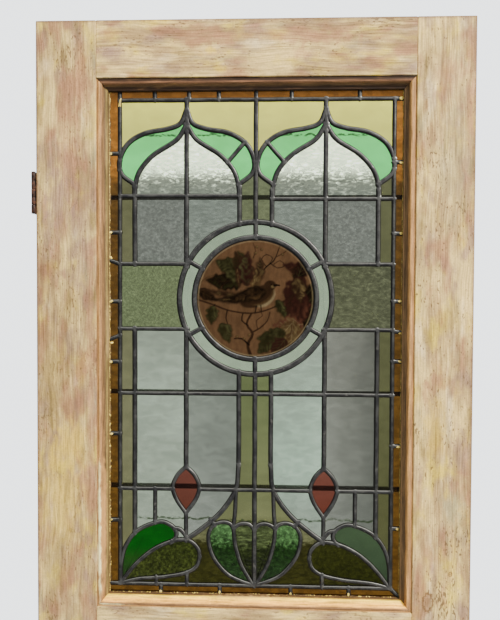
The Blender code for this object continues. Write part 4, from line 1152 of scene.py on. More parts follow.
def new_material(name, plain=(), **fed):
    """A Principled material with plain values on its sockets and its tree."""
    material = bpy.data.materials.new(name)
    material.use_nodes = True
    shader = material.node_tree.nodes["Principled BSDF"]
    for key, value in dict(plain).items():
        shader.inputs[key].default_value = value
    return material, Tree(material.node_tree), shader.inputs


def object_place(tree):
    return tree.put("ShaderNodeTexCoord").outputs["Object"]


def raise_bump(tree, shader, height, distance, strength=1.0):
    bump = tree.put("ShaderNodeBump", {"Height": height, "Distance": distance, "Strength": strength})
    tree.feed(shader["Normal"], bump.outputs[0])


def make_pine_group():
    """Stripped pine: grain, brushed traces of old paint in several tints, and specks of dirt."""
    group, t, given, out = new_group(
        "Stripped pine",
        {
            "Place": ("vector", None),
            "Cream": ("colour", rgba((0.60, 0.43, 0.155))),
            "Buff": ("colour", rgba((0.39, 0.26, 0.105))),
            "Pale": ("colour", rgba((0.74, 0.57, 0.31))),
            "Grey": ("colour", rgba((0.26, 0.215, 0.115))),
            "Yellow": ("colour", rgba((0.58, 0.42, 0.045))),
            "Ochre": ("colour", rgba((0.215, 0.145, 0.038))),
            "Mauve": ("colour", rgba((0.25, 0.152, 0.105))),
            "Rose": ("colour", rgba((0.28, 0.130, 0.065))),
            "Pale share": ("number", 0.5),
            "Grey share": ("number", 0.5),
            "Yellow share": ("number", 0.5),
            "Ochre share": ("number", 0.5),
            "Mauve share": ("number", 0.5),
            "Rose share": ("number", 0.5),
            "Dirt": ("number", 0.5),
        },
        {"Color": "colour", "Grain": "number", "Roughness": "number", "Height": "number"},
    )
    place = given["Place"]
    drift = t.noise(t.stretched(place, (5, 5, 5), (3, 1, 2)), 1.0, 2.0)
    bent = t.put("ShaderNodeVectorMath", {0: place, 1: t.vector(0.0, t.maths("MULTIPLY", drift, 0.03), 0.0)}).outputs[0]
    broad = t.noise(t.stretched(bent, (8, 32, 14)), 1.0, 3.0, 0.6)
    fibre = t.noise(t.stretched(bent, (14, 420, 200)), 1.0, 2.0, 0.6)
    brush = t.noise(t.stretched(place, (24, 130, 60), (1.7, 4.1, 0)), 1.0, 4.0, 0.65, 0.1)
    dapple = t.noise(t.stretched(place, (330, 260, 300), (4, 2, 9)), 1.0, 1.0)
    colour = t.mix(t.spread(broad, 0.38, 0.60), given["Buff"], given["Cream"])
    tints = (
        ("Pale", (10.0, 30, 9), (11.3, 2.2, 5)), ("Grey", (9.0, 26, 9), (1.3, 9.2, 2)), ("Yellow", (14.0, 26, 9), (4.4, 7.1, 1)),
        ("Ochre", (13.0, 36, 9), (6.2, 3.1, 4)), ("Mauve", (13.0, 27, 9), (8.8, 5.5, 7)), ("Rose", (12.0, 25, 9), (0.6, 3.3, 8)),
    )
    for tint, size, offset in tints:
        patch = t.noise(t.stretched(place, size, offset), 1.0, 3.0, 0.55, 0.2)
        edge = t.maths("ADD", patch, t.maths("MULTIPLY", t.maths("SUBTRACT", brush, 0.5), 0.16))
        start = t.spread(given[f"{tint} share"], 0.0, 1.0, 0.74, 0.36, False)
        cover = t.spread(t.maths("SUBTRACT", edge, start), -0.08, 0.13)
        colour = t.mix(t.maths("MULTIPLY", cover, 0.76), colour, given[tint])
    grain = t.spread(fibre, 0.3, 0.7, 0.70, 1.30, False)
    for layer, swing in ((brush, 0.20), (dapple, 0.10), (broad, 0.10)):
        grain = t.maths("MULTIPLY", grain, t.spread(layer, 0.3, 0.7, 1.0 - swing, 1.0 + swing, False))
    t.feed(out["Grain"], grain)
    colour = t.scaled(colour, grain)
    speck = t.noise(t.stretched(place, (120, 300, 200), (9, 1, 4)), 1.0, 1.0, 0.5)
    clump = t.noise(t.stretched(place, (10, 20, 9), (2, 8, 3)), 1.0, 2.0)
    specks = t.spread(t.maths("ADD", speck, t.maths("MULTIPLY", clump, 0.55)), 0.95, 1.02)
    score = t.noise(t.stretched(bent, (9, 480, 300), (5, 5, 1)), 1.0, 1.0)
    scores = t.spread(t.maths("ADD", score, t.maths("MULTIPLY", clump, 0.3)), 0.84, 0.92)
    dirt = t.maths("MULTIPLY", t.maths("MAXIMUM", specks, t.maths("MULTIPLY", scores, 0.6)), given["Dirt"], True)
    colour = t.mix(dirt, colour, rgba((0.10, 0.055, 0.025)))
    t.feed(out["Color"], colour)
    t.feed(out["Roughness"], t.spread(fibre, 0.3, 0.7, 0.82, 0.62, False))
    height = t.maths("ADD", t.maths("MULTIPLY", fibre, 0.6), t.maths("MULTIPLY", broad, 0.6))
    t.feed(out["Height"], t.maths("SUBTRACT", height, t.maths("MULTIPLY", dirt, 0.5)))
    return group


def make_smear_group():
    """A soft-edged smear round a place on the door's face: 1 in its middle."""
    group, t, given, out = new_group(
        "Smear",
        {"Place": ("vector", None), "X": ("number", 0.0), "Z": ("number", 0.0), "Half width": ("number", 0.02),
         "Half height": ("number", 0.05)},
        {"Smear": "number"},
    )
    x, _, z = t.parts(given["Place"])
    dx = t.maths("DIVIDE", t.maths("SUBTRACT", x, given["X"]), given["Half width"])
    dz = t.maths("DIVIDE", t.maths("SUBTRACT", z, given["Z"]), given["Half height"])
    away = t.maths("SQRT", t.maths("ADD", t.maths("MULTIPLY", dx, dx), t.maths("MULTIPLY", dz, dz)))
    ragged = t.noise(t.stretched(given["Place"], (70, 70, 30)), 1.0, 5.0, 0.65, 0.5)
    t.feed(out["Smear"], t.spread(t.maths("ADD", away, t.maths("MULTIPLY", t.maths("SUBTRACT", ragged, 0.5), 3.0)), 1.30, 0.25))
    return group


def make_edge_group():
    """Grime along the door's outer edges: 1 at an edge, fading inwards."""
    group, t, given, out = new_group(
        "Edge grime", {"Place": ("vector", None), "Width": ("number", 0.004)}, {"Grime": "number"}
    )
    x, _, z = t.parts(given["Place"])
    near = t.maths("SUBTRACT", x, LEFT)
    for limit in (t.maths("SUBTRACT", RIGHT, x), t.maths("SUBTRACT", TOP, z)):
        near = t.maths("MINIMUM", near, limit)
    ragged = t.noise(given["Place"], 130.0, 3.0)
    near = t.maths("SUBTRACT", near, t.maths("MULTIPLY", t.maths("SUBTRACT", ragged, 0.5), 0.006))
    t.feed(out["Grime"], t.maths("SUBTRACT", 1.0, t.spread(t.maths("DIVIDE", near, given["Width"]), 0.0, 1.0)))
    return group


PINE, SMEAR, EDGE_GRIME = make_pine_group(), make_smear_group(), make_edge_group()
TINTS = ("Rose", "Mauve", "Yellow", "Ochre", "Grey", "Pale")


def grain_place(tree, level, offset):
    """Object coordinates turned so that the grain's run comes first."""
    x, y, z = tree.parts(object_place(tree))
    turned = tree.vector(x, z, y) if level else tree.vector(z, x, y)
    return tree.put("ShaderNodeVectorMath", {0: turned, 1: offset}).outputs[0]


def pine(name, level, offset, shares, dirt=0.6, knots=(), smears=(), tone=((0, 1), (1, 1))):
    """A timber's finish: its grain's run and place, its tints' shares, and how dark it is along its run."""
    material, t, shader = new_material(name, {"Specular IOR Level": 0.2})
    place = grain_place(t, level, offset)
    fed = {f"{tint} share": share for tint, share in zip(TINTS, shares)}
    wood = t.use(PINE, {"Place": place, "Dirt": dirt, **fed})
    colour, height = wood["Color"], wood["Height"]
    here = object_place(t)
    x, _, z = t.parts(here)
    run = t.maths("DIVIDE", t.maths("SUBTRACT", x, LEFT), RIGHT - LEFT) if level else t.maths("SUBTRACT", TOP, z)
    colour = t.scaled(colour, filled_ramp(t, run, [(at, (level_of,) * 3) for at, level_of in tone]))
    for x, z, half_width, half_height, tint, strength in smears:
        smear = t.use(SMEAR, {"Place": here, "X": x, "Z": z, "Half width": half_width, "Half height": half_height})["Smear"]
        colour = t.mix(t.maths("MULTIPLY", smear, strength), colour, t.scaled(tint, wood["Grain"]))
    for x, z, radius, squash in knots:
        px, _, pz = t.parts(here)
        dx = t.maths("DIVIDE", t.maths("SUBTRACT", px, x), radius)
        dz = t.maths("DIVIDE", t.maths("SUBTRACT", pz, z), radius * squash)
        away = t.maths("SQRT", t.maths("ADD", t.maths("MULTIPLY", dx, dx), t.maths("MULTIPLY", dz, dz)))
        wavy = t.maths("ADD", away, t.maths("MULTIPLY", t.noise(here, 260.0, 3.0), 0.7))
        rim = t.spread(t.maths("ABSOLUTE", t.maths("SUBTRACT", wavy, 1.15)), 0.0, 0.28, 0.85, 0.0)
        share = t.maths("MAXIMUM", rim, t.spread(wavy, 1.2, 0.5, 0.0, 0.55))
        colour = t.mix(share, colour, rgba((0.13, 0.065, 0.022)))
    grime = t.use(EDGE_GRIME, {"Place": here, "Width": 0.0065})["Grime"]
    colour = t.mix(t.maths("MULTIPLY", grime, 0.85), colour, rgba((0.16, 0.09, 0.05)))
    t.feed(shader["Base Color"], colour)
    t.feed(shader["Roughness"], wood["Roughness"])
    raise_bump(t, shader, height, 0.0008, 0.5)
    return material


def make_rolled_group():
    """Rolled glass: an uneven face whose waves can be stretched, as painted shade, painted glints on the crests,
    painted dark contour lines, and height.
    """
    group, t, given, out = new_group(
        "Rolled glass",
        {"Place": ("vector", None), "Waves": ("vector", (60.0, 60.0, 200.0)), "Fine": ("number", 0.4)},
        {"Shade": "number", "Crest": "number", "Line": "number", "Height": "number"},
    )
    scaled = t.put("ShaderNodeVectorMath", {0: given["Place"], 1: given["Waves"]}, operation="MULTIPLY").outputs[0]
    wave = t.noise(scaled, 1.0, 2.0, 0.5, 0.6)
    fine = t.noise(given["Place"], 420.0, 2.0, 0.6)
    height = t.maths("ADD", wave, t.maths("MULTIPLY", t.maths("SUBTRACT", fine, 0.5), given["Fine"]))
    t.feed(out["Height"], height)
    t.feed(out["Shade"], t.spread(height, 0.30, 0.70))
    t.feed(out["Crest"], t.spread(height, 0.60, 0.74))
    contours = t.maths("ABSOLUTE", t.maths("SINE", t.maths("MULTIPLY", wave, 13.0)))
    t.feed(out["Line"], t.spread(contours, 0.45, 0.15))
    return group


def make_shadow_fleck_group():
    """A wavy line of dark flecks across the glass at one height, a painted shadow line of what lies behind: 1 in a
    fleck.
    """
    group, t, given, out = new_group("Fleck line", {"Place": ("vector", None), "Height": ("number", 0.0)}, {"Fleck": "number"})
    x, _, z = t.parts(given["Place"])
    waver = t.noise(t.vector(t.maths("MULTIPLY", x, 55.0), given["Height"], 0.0), 1.0, 3.0)
    level = t.maths("ADD", given["Height"], t.maths("MULTIPLY", t.maths("SUBTRACT", waver, 0.5), 0.014))
    away = t.maths("ABSOLUTE", t.maths("SUBTRACT", z, level))
    broken = t.noise(t.stretched(given["Place"], (150, 150, 260)), 1.0, 2.0)
    t.feed(out["Fleck"], t.maths("MULTIPLY", t.spread(away, 0.0030, 0.0008), t.spread(broken, 0.40, 0.52)))
    return group


def make_lead_group():
    """Dull lead: grey skin, brighter where it is worn, with small dents; painted shade darkens the flanges' feet and
    the flanks facing down and to the left, and painted light brightens the flanks facing up.
    """
    group, t, given, out = new_group(
        "Dull lead",
        {
            "Place": ("vector", None),
            "Facing": ("vector", None),
            "Dark": ("colour", rgba((0.014, 0.014, 0.015))),
            "Rubbed": ("colour", rgba((0.048, 0.048, 0.046))),
            "Chalk": ("colour", rgba((0.12, 0.115, 0.10))),
            "Edge": ("colour", rgba((0.003, 0.003, 0.0025))),
            "Lit": ("colour", rgba((0.13, 0.13, 0.12))),
        },
        {"Color": "colour", "Roughness": "number", "Height": "number"},
    )
    broad = t.noise(given["Place"], 38.0, 4.0, 0.6)
    fine = t.noise(given["Place"], 310.0, 3.0, 0.6)
    worn = t.spread(t.maths("ADD", t.maths("MULTIPLY", broad, 0.7), t.maths("MULTIPLY", fine, 0.3)), 0.40, 0.62)
    colour = t.mix(worn, given["Dark"], given["Rubbed"])
    bloom = t.noise(given["Place"], 90.0, 4.0, 0.7)
    colour = t.mix(t.maths("MULTIPLY", t.spread(bloom, 0.60, 0.72), 0.6), colour, given["Chalk"])
    # Painted shade: darker towards the flanges' feet at the glass, lighter on the crown.
    _, y, _ = t.parts(given["Place"])
    crown = t.maths("ABSOLUTE", t.maths("SUBTRACT", y, LIGHT_MIDDLE))
    seat, face = (GLASS_BACK - GLASS_FRONT) / 2, (LEAD_BACK - LEAD_FRONT) / 2
    colour = t.mix(t.spread(crown, seat + 0.0003, face - 0.0004), given["Edge"], colour)
    # Painted light: flanks facing up are given the lit grey.
    turned = t.put("ShaderNodeVectorMath", {0: given["Facing"], 1: (0.2, 0.0, 1.0)}, operation="DOT_PRODUCT").outputs["Value"]
    patchy = t.maths("MULTIPLY", t.maths("SUBTRACT", worn, 0.5), 0.12)
    colour = t.mix(t.maths("MULTIPLY", t.spread(t.maths("ADD", turned, patchy), 0.06, 0.5), 0.8), colour, given["Lit"])
    # Painted shade: flanks facing down and to the left are given the near-black edge colour.
    painted_shade_flank = t.put("ShaderNodeVectorMath", {0: given["Facing"], 1: (-0.7, 0.0, -0.7)}, operation="DOT_PRODUCT").outputs["Value"]
    colour = t.mix(t.spread(painted_shade_flank, 0.04, 0.25), colour, given["Edge"])
    t.feed(out["Color"], colour)
    t.feed(out["Roughness"], t.spread(worn, 0.0, 1.0, 0.50, 0.32, False))
    t.feed(out["Height"], t.maths("ADD", t.maths("MULTIPLY", broad, 0.7), t.maths("MULTIPLY", fine, 0.3)))
    return group


def make_rust_group():
    group, t, given, out = new_group(
        "Rust",
        {
            "Place": ("vector", None),
            "Iron": ("colour", rgba((0.016, 0.011, 0.010))),
            "Rust": ("colour", rgba((0.075, 0.028, 0.014))),
        },
        {"Color": "colour", "Roughness": "number", "Metal": "number", "Height": "number"},
    )
    broad = t.noise(given["Place"], 95.0, 5.0, 0.65)
    pits = t.noise(given["Place"], 900.0, 3.0, 0.6)
    rusty = t.spread(t.maths("ADD", broad, t.maths("MULTIPLY", t.maths("SUBTRACT", pits, 0.5), 0.3)), 0.40, 0.62)
    t.feed(out["Color"], t.mix(rusty, given["Iron"], given["Rust"]))
    t.feed(out["Roughness"], t.spread(rusty, 0.0, 1.0, 0.45, 0.85, False))
    t.feed(out["Metal"], t.spread(rusty, 0.0, 1.0, 0.7, 0.1, False))
    t.feed(out["Height"], t.maths("ADD", broad, t.maths("MULTIPLY", pits, 0.4)))
    return group


ROLLED, SHADOW_FLECKS, LEAD, RUST = make_rolled_group(), make_shadow_fleck_group(), make_lead_group(), make_rust_group()


def drop_ramp(tree, stops, lift=None):
    """A colour by the height on the light: stops are (drawn drop in millimetres, colour)."""
    _, _, z = tree.parts(object_place(tree))
    if lift is not None:
        z = tree.maths("ADD", z, lift)
    drop = tree.spread(z, FIELD_TOP + 0.04, FIELD_BOTTOM - 0.04, 0.0, 1.0, False)
    full = FIELD_TOP - FIELD_BOTTOM + 0.08
    places = [((height / DRAWN_HEIGHT * (FIELD_TOP - FIELD_BOTTOM) + 0.04) / full, colour) for height, colour in stops]
    return filled_ramp(tree, drop, places)


def width_ramp(tree, stops):
    """A shade by the place across the light: stops are (drawn distance from the middle, share of the tint)."""
    x, _, _ = tree.parts(object_place(tree))
    left, right = on_door((-DRAWN_HALF, 0)).x, on_door((DRAWN_HALF, 0)).x
    across = tree.spread(x, left, right, 0.0, 1.0, False)
    places = [((drawn / DRAWN_HALF + 1) / 2, (share / 2, share / 2, share / 2)) for drawn, share in stops]
    return tree.maths("MULTIPLY", filled_ramp(tree, across, places), 2.0)


def filled_ramp(tree, value, places):
    ramp = tree.put("ShaderNodeValToRGB", {0: value})
    elements = ramp.color_ramp.elements
    while len(elements) < len(places):
        elements.new(0.5)
    for element, (position, colour) in zip(elements, places):
        element.position = max(0.0, min(1.0, position))
        element.color = rgba(colour)
    return ramp.outputs[0]


def glass(name, stops, waves=(60, 60, 200), contrast=0.25, fine=0.4, bump=0.00025, rough=0.08, clear=0.9,
          sway=0.0, crest=0.0, ripple=(), across=(), flecks=()):
    """Coloured glass: a tint by height, varied by its rolled face, see-through by plain values. The tints of the clear
    panes, the border and the lowest panes carry painted light and shade of what lies behind the glass, swayed by the
    waves; crests can take painted glints, ripples painted dark lines, and flecks painted shadow lines.
    """
    material, t, shader = new_material(
        name, {"Transmission Weight": clear, "IOR": 1.2, "Roughness": rough, "Specular IOR Level": 0.05}
    )
    place = object_place(t)
    rolled = t.use(ROLLED, {"Place": place, "Waves": waves, "Fine": fine})
    # The waves sway the tint's heights: painted light and shade as if bent by the rolled face.
    lift = t.maths("MULTIPLY", t.maths("SUBTRACT", rolled["Height"], 0.5), sway) if sway else None
    tint = drop_ramp(t, stops, lift)
    seed = t.noise(place, 11.0, 2.0)
    factor = t.maths("ADD", t.spread(rolled["Shade"], 0.0, 1.0, 1.0 - contrast, 1.0 + contrast, False),
                     t.spread(seed, 0.3, 0.7, -0.06, 0.06, False))
    # Painted glints on the wave crests.
    if crest:
        factor = t.maths("ADD", factor, t.maths("MULTIPLY", rolled["Crest"], crest))
    # Painted dark lines along the ripples.
    if ripple:
        depth = drop_ramp(t, [(drop, (amount, amount, amount)) for drop, amount in ripple])
        factor = t.maths("SUBTRACT", factor, t.maths("MULTIPLY", rolled["Line"], depth))
    if across:
        factor = t.maths("MULTIPLY", factor, width_ramp(t, across))
    colour = t.scaled(tint, factor)
    # Painted shadow lines of what lies behind, seen through the glass.
    for drop in flecks:
        fleck = t.use(SHADOW_FLECKS, {"Place": place, "Height": on_door((0, drop)).y})["Fleck"]
        colour = t.mix(t.maths("MULTIPLY", fleck, 0.9), colour, rgba((0.012, 0.02, 0.006)))
    t.feed(shader["Base Color"], colour)
    raise_bump(t, shader, rolled["Height"], bump)
    return material


def lead_finish(name, **colours):
    material, t, shader = new_material(name, {"Metallic": 0.4, "Specular IOR Level": 0.2})
    facing = t.put("ShaderNodeTexCoord").outputs["Normal"]
    skin = t.use(LEAD, {"Place": object_place(t), "Facing": facing, **{key: rgba(value) for key, value in colours.items()}})
    t.feed(shader["Base Color"], skin["Color"])
    t.feed(shader["Roughness"], skin["Roughness"])
    raise_bump(t, shader, skin["Height"], 0.0006, 0.7)
    return material


def dark_cement_and_painted_shade():
    # Near-black: partly the cement's own colour, partly painted shade along the leads.
    material, t, shader = new_material("Dark cement and painted shade", {"Roughness": 0.9, "Specular IOR Level": 0.2})
    grit = t.noise(object_place(t), 300.0, 3.0)
    t.feed(shader["Base Color"], t.mix(t.spread(grit, 0.35, 0.7), rgba((0.003, 0.003, 0.0025)), rgba((0.010, 0.009, 0.007))))
    raise_bump(t, shader, grit, 0.0003, 0.7)
    return material


def rusty(name, **colours):
    material, t, shader = new_material(name, {"Specular IOR Level": 0.3})
    skin = t.use(RUST, {"Place": object_place(t), **{key: rgba(value) for key, value in colours.items()}})
    t.feed(shader["Base Color"], skin["Color"])
    t.feed(shader["Roughness"], skin["Roughness"])
    t.feed(shader["Metallic"], skin["Metal"])
    raise_bump(t, shader, skin["Height"], 0.0004, 0.8)
    return material


def moulding_finish(name, level, offset, zones, width, smears=()):
    """A moulding's finish: its pine under the remains of paint, by zones across its section (in millimetres), with the
    painted light and shade that some zones and smears hold.
    """
    material, t, shader = new_material(name, {"Specular IOR Level": 0.25})
    place = grain_place(t, level, offset)
    wood = t.use(PINE, {"Place": place, "Cream": rgba((0.44, 0.22, 0.075)), "Buff": rgba((0.25, 0.12, 0.045)), "Dirt": 0.8,
                        "Pale share": 0.2, "Grey share": 0.2, "Yellow share": 0.3, "Ochre share": 0.4, "Mauve share": 0.2,
                        "Rose share": 0.4})
    across = t.put("ShaderNodeAttribute", attribute_name="Across").outputs["Fac"]
    waver = t.maths("MULTIPLY", t.maths("SUBTRACT", t.noise(t.stretched(place, (60, 200, 200)), 1.0, 2.0), 0.5), 0.0010)
    painted = filled_ramp(t, t.maths("DIVIDE", t.maths("ADD", across, waver), width), [(at / 20, tint) for at, tint in zones])
    patch = t.noise(t.stretched(place, (22, 240, 240), (3, 1, 6)), 1.0, 3.0, 0.6)
    colour = t.scaled(painted, t.maths("MULTIPLY", t.spread(patch, 0.3, 0.7, 0.62, 1.38, False), wood["Grain"]))
    worn = t.noise(t.stretched(place, (30, 160, 160)), 1.0, 4.0, 0.65)
    colour = t.mix(t.spread(worn, 0.30, 0.48, 0.12, 0.0), colour, wood["Color"])
    for x, z, half_width, half_height, tint, strength in smears:
        fed = {"Place": object_place(t), "X": x, "Z": z, "Half width": half_width, "Half height": half_height}
        smear = t.use(SMEAR, fed)["Smear"]
        colour = t.mix(t.maths("MULTIPLY", smear, strength), colour, rgba(tint))
    t.feed(shader["Base Color"], colour)
    t.feed(shader["Roughness"], wood["Roughness"])
    raise_bump(t, shader, wood["Height"], 0.0006, 0.5)
    return material


def putty_finish(name, stops, crack, crack_share, flecks=0.0):
    """Old putty under yellowed paint, darker towards the glass, cracked and dirty, with flecks of straw paint."""
    material, t, shader = new_material(name, {"Roughness": 0.6, "Specular IOR Level": 0.25})
    place = object_place(t)
    reach = t.put("ShaderNodeAttribute", attribute_name="Reach").outputs["Fac"]
    ragged = t.noise(t.stretched(place, (170, 170, 170)), 1.0, 3.0, 0.6)
    down = t.maths("ADD", reach, t.maths("MULTIPLY", t.maths("SUBTRACT", ragged, 0.5), 0.9))
    colour = t.scaled(filled_ramp(t, down, stops), t.spread(t.noise(place, 60.0, 3.0), 0.3, 0.7, 0.5, 1.5, False))
    cracks = t.noise(place, 260.0, 4.0, 0.7)
    start = 0.72 - 0.35 * crack_share
    dark = t.spread(cracks, start, start + 0.10)
    fleck = t.maths("MULTIPLY", t.spread(t.noise(t.stretched(place, (300, 300, 170)), 1.0, 2.0), 0.56, 0.62), flecks)
    colour = t.mix(fleck, colour, rgba((0.60, 0.45, 0.10)))
    t.feed(shader["Base Color"], t.mix(dark, colour, rgba(crack)))
    raise_bump(t, shader, cracks, 0.0006, 0.8)
    return material


# The stage: a plain pale floor, a soft light from the upper right, and the camera.


def set_stage():
    clear_bench()
    bpy.ops.mesh.primitive_circle_add(vertices=96, radius=1.45, fill_type="NGON", location=(0.4, 0, BOTTOM - 0.0006))
    floor = bpy.context.object
    floor.name = floor.data.name = "pale_floor"
    paint, _, _ = new_material("Pale floor", {"Base Color": (0.78, 0.78, 0.77, 1), "Roughness": 0.8})
    floor.data.materials.append(paint)

    world = bpy.data.worlds.new("Soft studio")
    bpy.context.scene.world = world
    world.use_nodes = True
    t = Tree(world.node_tree)
    background = world.node_tree.nodes["Background"]
    direction = t.put("ShaderNodeTexCoord").outputs["Generated"]
    _, y, z = t.parts(direction)
    t.feed(background.inputs["Color"], rgba((0.93, 0.97, 1.0)))
    front = t.spread(z, -0.6, 0.7, 0.45, 1.35)
    behind = t.maths("MULTIPLY", t.spread(y, -0.2, 0.5), t.maths("SUBTRACT", 2.9, front))
    t.feed(background.inputs["Strength"], t.maths("ADD", front, behind))

    bpy.ops.object.light_add(type="AREA", location=(2.9, -2.5, 2.1))
    key = bpy.context.object
    key.name = "key_light"
    key.data.size = 0.9
    key.data.energy = 480
    key.data.color = (1.0, 0.95, 0.87)
    key.rotation_euler = (Vector((0.4, 0, -0.3)) - key.location).to_track_quat("-Z", "Y").to_euler()


def set_camera():
    """The camera where the photograph was taken from: about 1.1 m in front of the light."""
    bpy.ops.object.camera_add()
    camera = bpy.context.object
    bpy.context.scene.camera = camera
    yaw, pitch, roll = (math.radians(a) for a in (-2.05528128, -1.33628551, 0.23979571))
    forward = Vector((math.sin(yaw) * math.cos(pitch), math.cos(yaw) * math.cos(pitch), math.sin(pitch)))
    level = Vector((math.cos(yaw), -math.sin(yaw), 0))
    upright = level.cross(forward)
    right = math.cos(roll) * level + math.sin(roll) * upright
    up = -math.sin(roll) * level + math.cos(roll) * upright
    camera.matrix_world = Matrix((right, up, -forward)).transposed().to_4x4()
    camera.location = (LEFT + 0.44201851, FRONT - 1.11419795, TOP - 0.51077139)
    camera.data.sensor_width = 36.0
    camera.data.lens = 34.84


def make_light():
    """The leaded light: cames, solder, panes and the painted roundel."""
    leads = all_leads()
    spots, regions, joints = plan_of(leads)
    # The leads and the solder take painted light on flanks facing up, and painted shade on flanks facing down and left
    # and at the flanges' feet.
    lead = lead_finish("Dull lead")
    solder = lead_finish("Solder", Dark=(0.020, 0.020, 0.021), Rubbed=(0.065, 0.065, 0.062),
                         Edge=(0.005, 0.005, 0.004), Lit=(0.17, 0.17, 0.16))
    cames, cement = [], []
    corners = [line[0] for line, width in leads[-4:]]
    for width in sorted({width for _, width in leads}):
        lines = [line for line, w in leads if w == width]
        cames.append(lay_cames("cames", lines, came_section(width)))
        if width < EDGE or width == BROAD:
            cement.append(lay_cames("cement", [line for line in lines if line[0] not in corners], cement_section(width)))
    leadwork = join(cames, "leadwork")
    smooth(leadwork, 50)
    set_down(leadwork, "leadwork", lead, stands_for=["lead_cames"])
    # The cement band beside the leads is partly real cement and partly painted shade.
    set_down(join(cement, "cement"), "cement_and_painted_shade_beside_the_leads", dark_cement_and_painted_shade())
    panes, fillings = cut_panes(spots, regions, glass_finishes())
    joined = solder_joints(leads, joints, fillings)
    smooth(joined, 60)
    set_down(joined, "solder_joints", solder)
    disc = blank_canvas()
    paint_roundel(disc)
    smooth(disc, 40)
    set_down(disc, "painted_roundel", painted_finish(), stands_for=["glass_roundel"])
    return panes


def painted_finish():
    material, t, shader = new_material(
        "Painted glass", {"Transmission Weight": 0.12, "IOR": 1.2, "Roughness": 0.22, "Specular IOR Level": 0.05}
    )
    painting = t.put("ShaderNodeAttribute", attribute_name="Painting").outputs["Color"]
    place = object_place(t)
    wash = t.spread(t.noise(t.stretched(place, (150, 150, 60)), 1.0, 4.0, 0.6), 0.25, 0.75, 0.82, 1.18)
    t.feed(shader["Base Color"], t.scaled(painting, wash))
    return material


